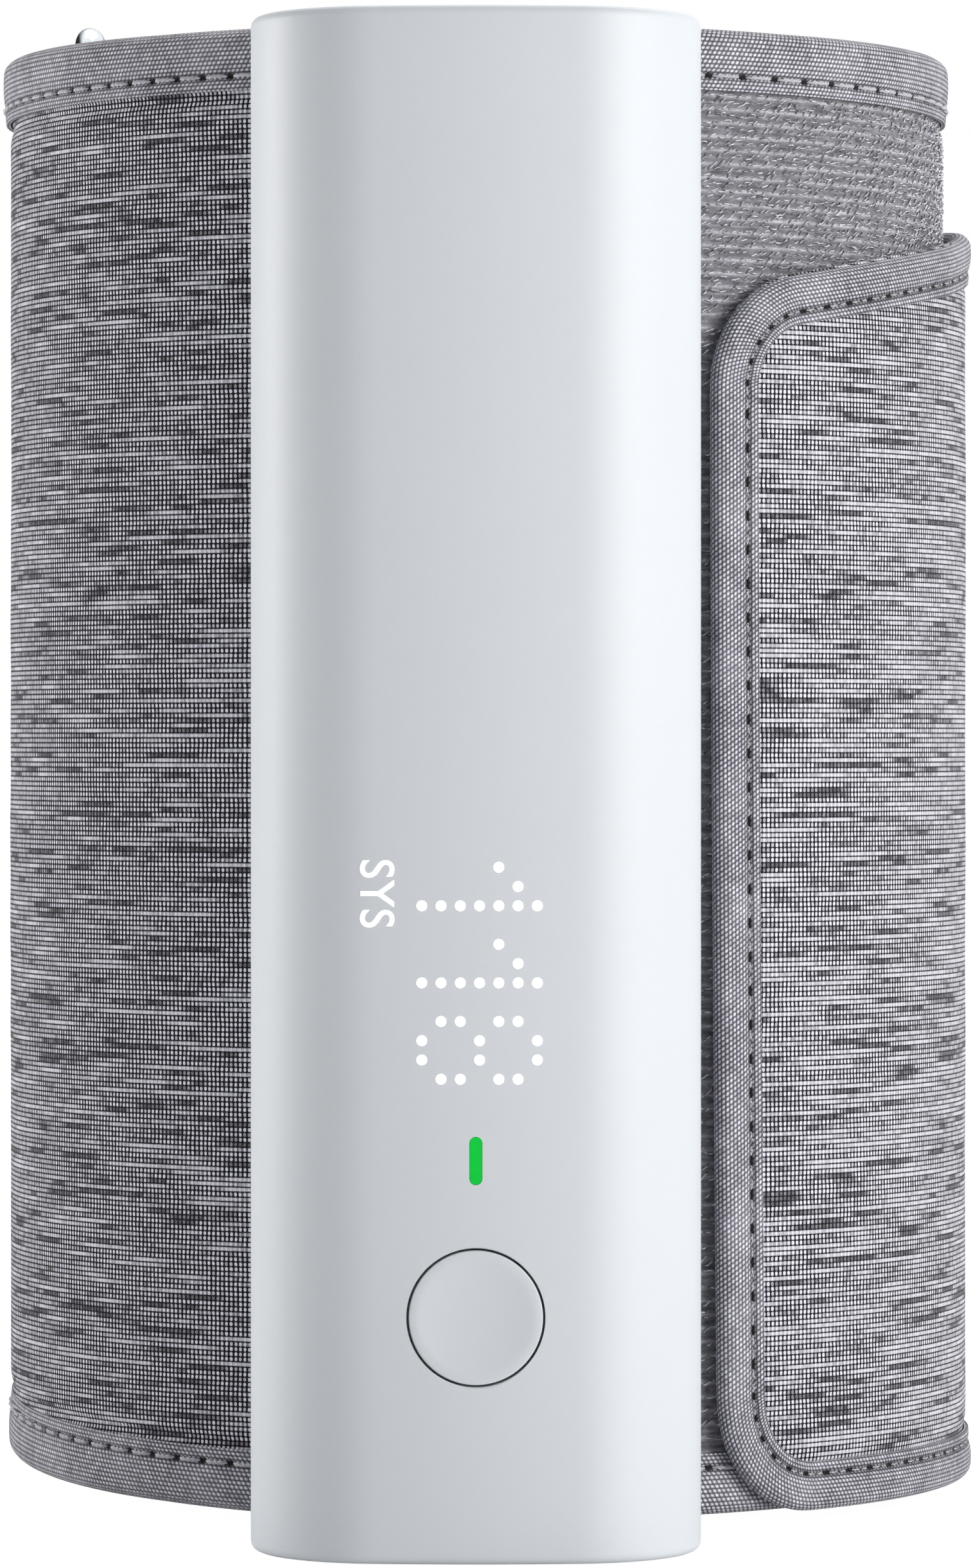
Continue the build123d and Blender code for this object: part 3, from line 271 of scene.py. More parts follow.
turn = np.linspace(0, np.pi / 2, 7)
low_insets = end_round * (1 - np.sin(turn))
low_heights = end_round * (1 - np.cos(turn))
walls = np.linspace(end_round, tube_height - end_round, 40)[1:-1]
sleeve_heights = np.concatenate([low_heights, walls, tube_height - low_heights[::-1]])
sleeve_insets = np.concatenate([low_insets, np.zeros_like(walls), low_insets[::-1]])
sleeve_outside = upright([tube_outline(inset) for inset in sleeve_insets], sleeve_heights)
inside_heights = np.linspace(0, tube_height, len(sleeve_heights))
sleeve_inside = upright([tube_outline(tube_wall)] * len(sleeve_heights), inside_heights)
sleeve = skin("sleeve", sleeve_outside, sleeve_inside, around=True)


def cutter(outline_x, outline_z, spreads, depths):
    """Closed plug that lies front to back: an outline about its own middle, spread by each amount at each
    depth, with a flat face at both ends."""
    away_x, away_z = outline_x - outline_x.mean(), outline_z - outline_z.mean()
    steps = np.array(spreads)[:, None] / np.hypot(away_x, away_z)
    x, z = outline_x + steps * away_x, outline_z + steps * away_z
    points = np.stack(np.broadcast_arrays(x, np.array(depths)[:, None], z), axis=-1)
    return tubes("cutter", points[None, :, ::-1])


def cut(made, plug):
    """Takes a plug out of a piece and removes the plug."""
    step = made.modifiers.new("cut", "BOOLEAN")
    step.object = plug
    step.operation = "DIFFERENCE"
    step.solver = "EXACT"
    seen = made.evaluated_get(bpy.context.evaluated_depsgraph_get())
    carved, old = bpy.data.meshes.new_from_object(seen), made.data
    made.modifiers.remove(step)
    made.data = carved
    bpy.data.meshes.remove(old)
    bpy.data.objects.remove(plug)


round_angle = np.linspace(0, 2 * np.pi, 96, endpoint=False)
hole_radius = button_radius + groove
hole_x = hole_radius * np.cos(round_angle)
hole_z = button_height + hole_radius * np.sin(round_angle)
mouth = -half_depth - chamfer
cut(sleeve, cutter(hole_x, hole_z, (3 * chamfer, 0, 0), (mouth - chamfer, mouth + 2 * chamfer, 0)))
slot_turn = np.linspace(0, np.pi, 24)
slot_turn = np.concatenate([slot_turn, slot_turn + np.pi])
slot_middle = status_height + np.repeat((1, -1), 24) * (status_length - status_width) / 2
slot_x, slot_z = status_width / 2 * np.cos(slot_turn), slot_middle + status_width / 2 * np.sin(slot_turn)
cut(sleeve, cutter(slot_x, slot_z, (0, 0), (-half_depth - mm, 0)))
sleeve.data.set_sharp_from_angle(angle=sharp_angle)
satin = moulded("satin_silver_paint", silver_white, 0.5, 0.12 * mm, 0.003 * mm, 0.012)
belongs(sleeve, satin)
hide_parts("tube_sleeve")
dress(satin, "bottom_cap", "top_cap")
rubber = moulded("soft_black_rubber", (0.03, 0.03, 0.032), 0.75, 0.3 * mm, 0.01 * mm)
dress(rubber, "end_seals", "port_seal")

# ---------------------------------------------------------------- push button
# A round cap of the sleeve's own material, flush with it and faintly dished, with a flange behind the wall
# that holds it in and a stem that meets the switch.
flange_gap = 0.72 * mm  # from the wall's inner face
flange_thickness = 0.8 * mm
dish = 0.45 * mm
dish_radius = 6 * mm
rim_round = 0.12 * mm
flange_radius = 8.2 * mm
stem_radius = 2.0 * mm
button_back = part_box("button_cap")[1][1]
flange_front = tube_wall - half_depth + flange_gap
flange_back = flange_front + flange_thickness

face_radii = np.linspace(0.02, 1, 24) * (button_radius - rim_round)
rim_turn = np.linspace(0, np.pi / 2, 5)[1:]
rim_radii = button_radius - rim_round * (1 - np.sin(rim_turn))
rim_drops = rim_round * (1 - np.cos(rim_turn))
cap_radii = np.concatenate([face_radii, rim_radii])
sink = dish * np.clip(1 - (cap_radii / dish_radius) ** 2, 0, None)
sink[-len(rim_drops):] += rim_drops
side_radii, side_depths = np.array([
    (button_radius, flange_front), (flange_radius, flange_front), (flange_radius, flange_back),
    (stem_radius, flange_back), (stem_radius, button_back), (0.02 * stem_radius, button_back),
]).T
button_radii = np.concatenate([cap_radii, side_radii])
button_x = np.outer(button_radii, np.sin(round_angle))
button_z = button_height + np.outer(button_radii, np.cos(round_angle))
cap_y = front_of_tube(button_x[:len(cap_radii)]) + sink[:, None]
side_y = np.repeat(side_depths[:, None], len(round_angle), 1)
button = tubes("button", np.stack([button_x, np.concatenate([cap_y, side_y]), button_z], -1)[None])
belongs(button, satin, "button")
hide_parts("button_cap")
black_plastic = moulded("moulded_black_plastic", (0.035, 0.036, 0.04), 0.5, 0.25 * mm, 0.01 * mm)
dress(black_plastic, "switch_plunger")

# ---------------------------------------------------------------- lit dots of the display
# Light-emitting diodes shine through the thinned wall, so a lit dot shows as a round white spot on the
# sleeve's face. The dots spell a plain number, which reads from top to bottom.
dot_pitch = 1.95 * mm
dot_radius = 0.54 * mm
first_column = -5.48 * mm
top_row = 74.55 * mm
dot_proud = 0.02 * mm  # of a dot's face from the sleeve's, and how far its short wall sinks in
lit = {
    2: (4,), 3: (5,), 4: (0, 1, 2, 3, 4, 5, 6), 6: (4,), 7: (5,), 8: (0, 1, 2, 3, 4, 5, 6),
    10: (1, 2, 4, 5), 11: (0, 3, 6), 12: (0, 3, 6), 13: (1, 2, 4, 5),
}
lit_places = np.array([(column, row) for row, columns in lit.items() for column in columns], float)


def lit_plastic(name, colour, strength, noise, dark, light, **sockets):
    """Plastic that is lit from behind: the colour of its light wanders a little between dark and light."""
    material, tree, shader = finish_of(name, colour, 0.4, Emission_Strength=strength, **sockets)
    wander = put(tree, "TexNoise", object_place(tree), None, *noise)
    tinted(tree, shader, wander, dark, light, "Emission Color")
    return material


dot_turn = np.linspace(0, 2 * np.pi, 28, endpoint=False)
dots_x = first_column + lit_places[:, :1] * dot_pitch + dot_radius * np.sin(dot_turn)
dots_z = top_row - lit_places[:, 1:] * dot_pitch + dot_radius * np.cos(dot_turn)
dots = tubes("lit_dots", np.stack([
    np.stack([dots_x, front_of_tube(dots_x) + depth, dots_z], -1) for depth in (-dot_proud, dot_proud)
], 1))
glow = lit_plastic("white_light", (0.9, 0.9, 0.9), 0.75, (900.0, 1.0), (0.97, 0.985, 1), (1, 1, 1))
belongs(dots, glow)

# ---------------------------------------------------------------- label beside the display
# The usual short name of the upper reading, beside it and read from top to bottom. The wall is thinned
# behind its letters as behind the dots, and they are lit in the same white.
label_middle = (-10.0 * mm, 67.95 * mm)
label_length = 6.8 * mm
label_width = 3.5 * mm
letters = bpy.data.curves.new("letters", "FONT")
letters.body = "SYS"
letters.offset = 0.004
letters.extrude = 0.02
letters.space_character = 1.06
letter_object = added("letters", letters)
letter_mesh = bpy.data.meshes.new_from_object(
    letter_object.evaluated_get(bpy.context.evaluated_depsgraph_get())
)
bpy.data.objects.remove(letter_object)
flat = np.empty(len(letter_mesh.vertices) * 3)
letter_mesh.vertices.foreach_get("co", flat)
flat = flat.reshape(-1, 3)
flat -= (flat.max(0) + flat.min(0)) / 2
flat /= flat.max(0) - flat.min(0)
label_x = label_middle[0] + flat[:, 1] * label_width
label_points = np.stack([
    label_x, front_of_tube(label_x) - flat[:, 2] * 2 * dot_proud, label_middle[1] - flat[:, 0] * label_length
], -1)
letter_mesh.vertices.foreach_set("co", label_points.ravel())
letter_mesh.update()
letter_mesh.materials.clear()
label = added("display_label", letter_mesh)
belongs(label, glow)

# ---------------------------------------------------------------- status light
# A short upright bar between the display and the button: a clear pipe of moulded plastic, which fills a
# slot of the sleeve flush with its face. The diode behind it lights it green.
lit_green = lit_plastic(
    "lit_green_pipe", (0.002, 0.45, 0.04), 0.32, (700.0, 2.0), (0.0, 0.5, 0.03), (0.01, 0.65, 0.07),
    Specular_IOR_Level=0.15,
)
dress(lit_green, "status_light_pipe")
dress(moulded("lit_diode", (0.2, 0.8, 0.3), 0.2, 0.2 * mm, 0.002 * mm), "status_led")
opal = moulded("opal_film", (0.8, 0.8, 0.8), 0.5, 0.2 * mm, 0.002 * mm, Transmission_Weight=0.3)
dress(opal, "diffuser_film")

# ---------------------------------------------------------------- chassis and electronics
# A moulded trough slides into the sleeve and carries the main board, the switch, the display's diode
# array behind its black baffle, two cells on foam, and the charging socket on its own small board.
dress(moulded("chassis_plastic", (0.09, 0.095, 0.1), 0.55, 0.4 * mm, 0.015 * mm), "chassis")
dress(black_plastic, "light_baffle", "tactile_switch")


def printed_board(name, lacquer, copper):
    """Circuit board: lacquer over square-cornered copper tracks, as steps of a blocky noise."""
    material, tree, shader = finish_of(name, lacquer, 0.35, Coat_Weight=0.4)
    place = object_place(tree)
    blocks = put(tree, "TexBrick", place, (*lacquer, 1), (*copper, 1), (*lacquer, 1), 260.0, 0.1)
    tracks = put(tree, "TexVoronoi", place, None, 700.0, distance="MANHATTAN")
    on_track = put(tree, "Math", tracks, 0.32, operation="GREATER_THAN")
    tree.links.new(put(tree, "MixRGB", on_track, blocks, (*lacquer, 1)), shader.inputs["Base Color"])
    relief(tree, shader, on_track, 0.03 * mm)
    return material


green_board = printed_board("green_circuit_board", (0.01, 0.12, 0.05), (0.03, 0.22, 0.09))
dress(green_board, "main_board", "socket_board")
dress(printed_board("white_diode_board", (0.5, 0.5, 0.48), (0.75, 0.75, 0.7)), "led_array")
chip_resin = moulded("black_chip_resin", (0.02, 0.02, 0.022), 0.45, 0.15 * mm, 0.008 * mm)
dress(chip_resin, "board_chips", "pressure_sensor")


def bare_metal(name, colour, roughness, scratch=0.4):
    """Bare metal: fine drawn lines along the part as bump, and patchy gloss."""
    material, tree, shader = finish_of(name, colour, roughness, Metallic=1.0)
    place = object_place(tree)
    drawn = put(tree, "Mapping", place, None, None, (1, 1, 0.06))
    lines = put(tree, "TexNoise", drawn, None, 4000.0, 2.0)
    relief(tree, shader, lines, 0.001 * mm * scratch)
    patches = put(tree, "TexNoise", place, None, 150.0, 3.0)
    gloss = spread(tree, patches, 0.3, 0.7, roughness * 0.75, roughness * 1.25)
    tree.links.new(gloss, shader.inputs["Roughness"])
    return material


tinned = bare_metal("tinned_steel", (0.62, 0.62, 0.6), 0.3)
dress(tinned, "radio_shield", "charging_socket", "motor_can", "motor_end_plate", "valve_frame", "pump_rotor")
zinc = bare_metal("zinc_plated_steel", (0.66, 0.67, 0.68), 0.25)
dress(zinc, "board_screws", "cuff_screws", "valve_plunger")
dress(moulded("cell_wrap", (0.05, 0.16, 0.42), 0.3, 0.8 * mm, 0.01 * mm, Coat_Weight=0.5), "battery_cells")
dress(moulded("grey_foam", (0.2, 0.2, 0.21), 0.95, 0.5 * mm, 0.15 * mm, 0.15), "battery_pads")

# ---------------------------------------------------------------- air path, pump and valve
# Moulded manifold, port and pump head, silicone hoses and diaphragm, a small motor in a rubber sleeve,
# and a solenoid valve whose coil is wound with enamelled copper. The spring under the valve's plunger is
# wound from steel wire.
milky = moulded("milky_moulding", (0.75, 0.76, 0.76), 0.35, 0.3 * mm, 0.005 * mm, Transmission_Weight=0.2)
dress(milky, "air_manifold", "air_port", "pump_head", "pump_base", "pump_rocker", "pump_crank")
silicone = moulded("clear_silicone", (0.7, 0.72, 0.72), 0.3, 0.4 * mm, 0.004 * mm, Transmission_Weight=0.6)
dress(silicone, "air_hoses", "pump_diaphragm")
dress(rubber, "motor_mount")
dress(moulded("pressed_magnet", (0.06, 0.055, 0.05), 0.6, 0.2 * mm, 0.02 * mm, 0.2), "motor_magnets")
winding, winding_tree, winding_shader = finish_of("wound_copper", (0.65, 0.22, 0.06), 0.25, Metallic=0.8)
winding_turns = put(winding_tree, "TexWave", object_place(winding_tree), 1200.0, bands_direction="Z")
relief(winding_tree, winding_shader, winding_turns, 0.05 * mm)
dress(winding, "valve_coil")

spring_low, spring_high = (np.array(corner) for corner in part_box("valve_spring"))
spring_wire = 0.15 * mm
spring_turns = 3
spring_middle = (spring_low + spring_high) / 2
spring_turn = np.linspace(0, 2 * np.pi * spring_turns, 24 * spring_turns + 1)[:, None]
spring_rise = np.linspace(spring_low[2] + spring_wire, spring_high[2] - spring_wire, len(spring_turn))
wire_turn = np.linspace(0, 2 * np.pi, 8, endpoint=False)
spring_reach = (spring_high[0] - spring_low[0]) / 2 - spring_wire + spring_wire * np.cos(wire_turn)
coil_points = np.stack([
    spring_middle[0] + spring_reach * np.cos(spring_turn),
    spring_middle[1] + spring_reach * np.sin(spring_turn),
    spring_rise[:, None] + spring_wire * np.sin(wire_turn),
], -1)
coil_spring = tubes("coil_spring", coil_points[None, :, ::-1])
belongs(coil_spring, zinc)
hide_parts("valve_spring")
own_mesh(coil_spring)

# ---------------------------------------------------------------- saddle and clamp plate
# The saddle fills the wedge between the tube's flat back and the roll. Four screws pull the clamp plate
# inside the cuff against it.
saddle_plastic = moulded("saddle_plastic", (0.32, 0.33, 0.35), 0.5, 0.3 * mm, 0.012 * mm)
dress(saddle_plastic, "saddle", "clamp_plate")
dress(moulded("curled_sheet_plastic", (0.75, 0.75, 0.74), 0.4, 0.5 * mm, 0.004 * mm), "cuff_stiffener")

# ---------------------------------------------------------------- outer cloth of the cuff
# Two panels meet behind the tube. The left one is a melange weave: pale threads upright, and threads
# along the roll whose colour drifts between charcoal and white. The right one is the ground of the loop pile.
roll_low, roll_high = (np.array(corner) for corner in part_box("right_binding_top"))
roll_y = (roll_low[1] + roll_high[1]) / 2
cuff_radius = 52.35 * mm
cuff_top = roll_high[2]
cuff_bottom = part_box("right_binding_bottom")[0][2]
panel_thickness = 1.1 * mm
edge_tape_thickness = 0.6 * mm
left_end, seam, right_end = -109.0, 0.06, 182.0
cloth_top = cuff_top - edge_tape_thickness
cloth_low = cuff_bottom + edge_tape_thickness
left_slope = 3.15 * mm
tape_width = 6.2 * mm
seam_dip = 0.4 * mm
seam_dip_width = 0.8 * mm


def rolled(radius, heading, height):
    """Point about the roll's upright axis: heading 0 is the front, and 90 is +X."""
    turned = np.radians(heading)
    return np.stack(np.broadcast_arrays(
        radius * np.sin(turned), roll_y - radius * np.cos(turned), height
    ), axis=-1)


def left_edge(heading):
    """Height of the left part's lower edge, which slopes up as 1 minus the cosine of the heading."""
    return cuff_bottom + left_slope * (1 - np.cos(np.radians(heading)))


def ripple(along, up, size, seed):
    """Soft unevenness of stretched cloth, between -1 and 1: the mean of long sine waves, each with a fixed
    random direction and phase."""
    chance = np.random.default_rng(seed)
    waves, total = 5, 0
    for wave in range(1, waves + 1):
        angle, phase = chance.uniform(0, 2 * np.pi, 2)
        distance = along * np.cos(angle) + up * np.sin(angle)
        total = total + np.sin(2 * np.pi * wave * distance / size + phase)
    return total / waves


def hump(distance, width):
    """Smooth hump, 1 at distance 0: e to the power of minus the square of distance over width."""
    return np.exp(-((distance / width) ** 2))


def pulled_in(height, low):
    """How far the seams pull a panel in just past its tapes: a short dip along each edge."""
    from_edge = np.minimum(cloth_top - height, height - low)
    return seam_dip * hump(from_edge - tape_width, seam_dip_width)


def rolled_cloth(name, outer, inner, heading, along, height):
    """Rolled cloth between two radii. Its map is the distance along it and its height."""
    walls = rolled(outer, heading, height), rolled(inner, heading, height)
    return skin(name, *walls, np.stack(np.broadcast_arrays(along, height), -1))


def sums(tree):
    """Function that adds arithmetic nodes to a tree: it takes an operation and up to three inputs."""
    def math(operation, a, b=None, c=None, clamp=False):
        """Result of one operation on sockets and values."""
        return put(tree, "Math", a, b, c, operation=operation, use_clamp=clamp)
    return math


def rounded(math, place):
    """Rounded height 4f(1-f) across one thread, bead or row, where f is the fraction of its place."""
    part = math("FRACT", place)
    return math("MULTIPLY", math("MULTIPLY", part, 4.0), math("SUBTRACT", 1.0, part))


def cloth_map(tree):
    """Sockets with the two directions of a piece's own map, in metres."""
    return put(tree, "SeparateXYZ", put(tree, "UVMap")).node.outputs[:2]


def cloth_noise(tree, scale, detail):
    """Noise on a piece's own map."""
    return put(tree, "TexNoise", put(tree, "UVMap"), None, scale, detail)


def melange(name, dark, light, drift, gap):
    """Woven melange cloth on the piece's own map, in metres: pale upright threads show as beads between
    threads that run along, each of which drifts between dark and light. gap is the share left dark."""
    along_pitch, up_pitch = 0.56 * mm, 0.53 * mm
    material, tree, shader = finish_of(
        name, light, 0.9, Sheen_Weight=0.3, Sheen_Roughness=0.3, Specular_IOR_Level=0.15
    )
    math = sums(tree)
    along, up = cloth_map(tree)
    shifted = math("ADD", along, math("MULTIPLY", cloth_noise(tree, 400.0, 1.0), 0.25 * mm))
    column_place, row_place = math("DIVIDE", shifted, along_pitch), math("DIVIDE", up, up_pitch)
    column, row = math("FLOOR", column_place), math("FLOOR", row_place)
    row_height = rounded(math, row_place)
    crossing = math("MULTIPLY", rounded(math, column_place), math("SQRT", row_height))
    bead = spread(tree, crossing, gap, gap + 0.3)
    streak_place = put(tree, "CombineXYZ", math("MULTIPLY", along, 85.0), math("MULTIPLY", row, 7.3), 0.0)
    streak = put(tree, "TexNoise", streak_place, None, 1.0, 2.0, 0.6)
    chance = put(tree, "TexWhiteNoise", put(tree, "CombineXYZ", column, row, 0.0))
    pale_row = spread(tree, streak, 0.58 - drift, 0.7 - drift)
    dark_row = spread(tree, streak, 0.37, 0.45, 0.25)
    upright = math("MULTIPLY", math("MULTIPLY", bead, dark_row), math("MULTIPLY_ADD", chance, 0.8, 0.65))
    level = math("MULTIPLY", pale_row, spread(tree, row_height, 0.25, 0.8, 0.0, 0.8))
    speck = math("MULTIPLY_ADD", cloth_noise(tree, 3000.0, 2.0), 0.3, -0.17)
    tinted(tree, shader, math("ADD", math("MAXIMUM", upright, level), speck, None, True), dark, light)
    height = math("ADD", math("MULTIPLY", bead, 0.7), math("MULTIPLY", row_height, 0.3))
    relief(tree, shader, height, 0.14 * mm)
    return material


left_heading = np.linspace(left_end, -seam, 150)[:, None]
left_share = np.linspace(0, 1, 240)[None, :]
left_low = left_edge(left_heading) + edge_tape_thickness
left_height = left_low + (cloth_top - left_low) * left_share
left_along = np.radians(left_heading - left_end) * cuff_radius
left_wave = 0.12 * mm * ripple(left_along, left_height, 55 * mm, 3) * np.sin(np.pi * left_share)
left_panel = rolled_cloth(
    "left_outer_cloth", cuff_radius + left_wave - pulled_in(left_height, left_low),
    cuff_radius - panel_thickness, left_heading, left_along, left_height,
)
woven = melange("melange_cloth", (0.008, 0.008, 0.013), (0.84, 0.83, 0.92), drift=0.045, gap=0.48)
belongs(left_panel, woven)
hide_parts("left_panel")

right_heading = np.linspace(seam, right_end, 200)[:, None]
right_height = np.linspace(cloth_low, cloth_top, 240)[None, :]
right_along = np.radians(right_heading) * cuff_radius
right_panel = rolled_cloth(
    "loop_pile_ground", cuff_radius - pulled_in(right_height, cloth_low),
    cuff_radius - panel_thickness, right_heading, right_along, right_height,
)
pile, pile_tree, pile_shader = finish_of(
    "loop_pile_ground", (0.36, 0.36, 0.4), 0.95,
    Sheen_Weight=0.2, Sheen_Roughness=0.3, Specular_IOR_Level=0.15,
)
pile_map = put(pile_tree, "UVMap")
pile_stretch = put(pile_tree, "Mapping", pile_map, None, None, (500, 1400, 1))
pile_fuzz = put(pile_tree, "TexNoise", pile_stretch, None, 1.0, 4.0, 0.7)
pile_rows = put(pile_tree, "TexWave", pile_map, 216.0, 1.5, 2.0, 300.0, bands_direction="Y")
pile_height = put(pile_tree, "Math", pile_rows, 0.25, pile_fuzz, operation="MULTIPLY_ADD")
pile_shade = spread(pile_tree, pile_height, 0.35, 0.95)
tinted(pile_tree, pile_shader, pile_shade, (0.12, 0.12, 0.14), (0.7, 0.69, 0.76))
relief(pile_tree, pile_shader, pile_shade, 0.2 * mm)
belongs(right_panel, pile)
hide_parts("right_panel")

# ---------------------------------------------------------------- bladder and lining
# The bladder is a flat welded bag between the stiffener and the lining. The lining is a smooth knit that
# bulges towards the arm, because it is cut wider than the roll is tall between its bindings.
liner_outer = 51.15 * mm
liner_thickness = 0.7 * mm
liner_crown = 3.85 * mm
bag_margin = 18.5 * mm
bag_outer = 50.2 * mm
bag_weld = 5 * mm
weld_thickness = 0.3 * mm
bag_clearance = 1.1 * mm  # of the full bag from the lining's bulge
bag_start, bag_end = -97.0, 165.0
clamp_reach = 17  # degrees each way
clamp_low, clamp_high = 44 * mm, 116 * mm
clamp_depth = 1.6 * mm  # how far the clamp plate presses the bag in


def bulge(height):
    """How far the lining stands in towards the arm at a height: a shallow arc, 0 at the edges."""
    share = 2 * (height - cloth_low) / (cloth_top - cloth_low) - 1
    return liner_crown * (1 - share**2)


bag_heading = np.linspace(bag_start, bag_end, 160)[:, None]
bag_height = np.linspace(cuff_bottom + bag_margin, cuff_top - bag_margin, 60)[None, :]
from_side = np.minimum(bag_height - bag_height[0, 0], bag_height[0, -1] - bag_height)
from_end = np.radians(np.minimum(bag_heading - bag_start, bag_end - bag_heading)) * bag_outer
full = np.clip(np.minimum(from_side, from_end) / bag_weld, 0, 1)
full = np.sqrt(1 - (1 - full) ** 2)
bag_depth = weld_thickness + full * (bulge(bag_height) - bag_clearance)
over_clamp = (np.abs(bag_heading) < clamp_reach) & (bag_height > clamp_low) & (bag_height < clamp_high)
bag_outside = bag_outer - np.where(over_clamp, clamp_depth, 0.0)
bag_inside = bag_outer - np.where(over_clamp, np.maximum(bag_depth, clamp_depth + weld_thickness), bag_depth)
bag = rolled_cloth(
    "bladder_bag", bag_outside, bag_inside, bag_heading, np.radians(bag_heading) * bag_outer, bag_height
)
film = moulded("welded_film", (0.25, 0.26, 0.28), 0.3, 1.5 * mm, 0.05 * mm, 0.1, Coat_Weight=0.3)
belongs(bag, film)
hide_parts("bladder")

liner_heading = np.linspace(left_end, right_end, 260)[:, None]
liner_share = np.linspace(0, 1, 70)[None, :]
liner_low = np.where(liner_heading < 0, left_edge(liner_heading) + edge_tape_thickness, cloth_low)
liner_height = liner_low + (cloth_top - liner_low) * liner_share
liner_along = np.radians(liner_heading - left_end) * liner_outer
crease = 0.25 * mm * (1 + ripple(liner_along, liner_height, 38 * mm, 8)) * np.sin(np.pi * liner_share)
liner = rolled_cloth(
    "lining", liner_outer - bulge(liner_height), liner_outer - liner_thickness - bulge(liner_height) - crease,
    liner_heading, liner_along, liner_height,
)

knit_pitch = 0.4 * mm
lining, knit_tree, knit_shader = finish_of("lining_cloth", (0.2, 0.2, 0.215), 0.85, Sheen_Weight=0.3)
knit_checks = put(
    knit_tree, "TexChecker", put(knit_tree, "UVMap"), (0, 0, 0, 1), (1, 1, 1, 1), 1 / knit_pitch
)
knit_grain = cloth_noise(knit_tree, 2.5 / knit_pitch, 2.0)
knit_height = put(knit_tree, "Math", knit_checks, 0.5, knit_grain, operation="MULTIPLY_ADD")
knit_shade = spread(knit_tree, knit_height, 0.3, 1.2)
tinted(knit_tree, knit_shader, knit_shade, (0.1, 0.1, 0.11), (0.2, 0.2, 0.215))
relief(knit_tree, knit_shader, knit_height, 0.06 * mm)
belongs(liner, lining)
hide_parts("cuff_liner")

# ---------------------------------------------------------------- edge tapes of the cuff
# Ribbed tape is folded over the top and bottom edges of both parts, and lockstitched through everything.
# The thread pulls the tape down along its seam, so it swells between the seam and the edge.
tape_thickness = 0.45 * mm
tape_outer = 52.95 * mm
tape_inner = 49.35 * mm
tape_round = 1.2 * mm
seam_from_edge = 4.7 * mm
edge_swell = 0.38 * mm  # of the soft tape past the edge of the layers in it
side_swell = 0.6 * mm
side_tuck = 0.6 * mm  # of the bottom tapes, at the sides of the roll
swell_headings, tuck_headings = (40, 90), (50, 80)  # where each begins and is full
left_stitch = 3.45 * mm
right_stitch = 4.25 * mm
stitch_sink = 0.16 * mm  # below the tape's face
tape_rows = 1.8  # rows of points in each degree


def tape_profile(high, low, edge, width, seam_at, pucker):
    """Cross-section of a folded tape, as its distance from the cloth's edge and its height above the cloth:
    up the back, round a half-ellipse and down the front, with a furrow at the seam and a swell past it."""
    middle, half = (high + low) / 2, (high - low) / 2
    over = np.linspace(-np.pi / 2, np.pi / 2, 15)
    run = np.linspace(edge, width, 16)[1:]
    inward = np.concatenate([run[::-1], edge * (1 - np.cos(over)), run])
    above = np.concatenate([np.full_like(run, low), middle + half * np.sin(over), np.full_like(run, high)])
    front = np.arange(len(inward)) >= len(run) + len(over) // 2
    swell_height, furrow_depth, pucker_depth, lip_depth = 0.22 * mm, 0.26 * mm, 0.14 * mm, 0.1 * mm
    swell = swell_height * np.sin(np.pi * np.clip(inward / seam_at, 0, 1))
    furrow = (furrow_depth + pucker_depth * pucker) * hump(inward - seam_at, 0.45 * mm)
    lip = lip_depth * hump(inward - width, 0.5 * mm)
    return inward + 0 * pucker, above + np.where(front, swell - furrow - lip, 0)


def run_length(x, y):
    """Distance run along a line, at each of its points."""
    return np.concatenate([[0], np.cumsum(np.hypot(np.diff(x), np.diff(y)))])


def tape(name, place, length, rows, stitch, section):
    """Folded tape along an edge, and where its seam lies across its map. place turns distance along, distance
    in and height above into points."""
    along = np.linspace(0, length, rows)[:, None]
    pucker = np.cos(2 * np.pi * along / stitch)
    high, low, edge, width, seam_at = section
    inward, above = tape_profile(high, low, edge, width, seam_at, pucker)
    under_in, under_above = tape_profile(
        high - tape_thickness, low + tape_thickness, edge - tape_thickness, width, seam_at, pucker
    )
    under_in = under_in + np.clip(edge - under_in, 0, tape_thickness)
    across = run_length(inward[0], above[0])
    across = across - across[np.argmin(np.abs(inward[0]) + (above[0] < (high + low) / 2 - 0.01 * mm))]
    uv = np.stack(np.broadcast_arrays(along, across[None, :]), -1)
    made = skin(name, place(along, inward, above), place(along, under_in, under_above), uv)
    half = len(across) // 2
    return made, np.interp(seam_at, inward[0, half:], across[half:])


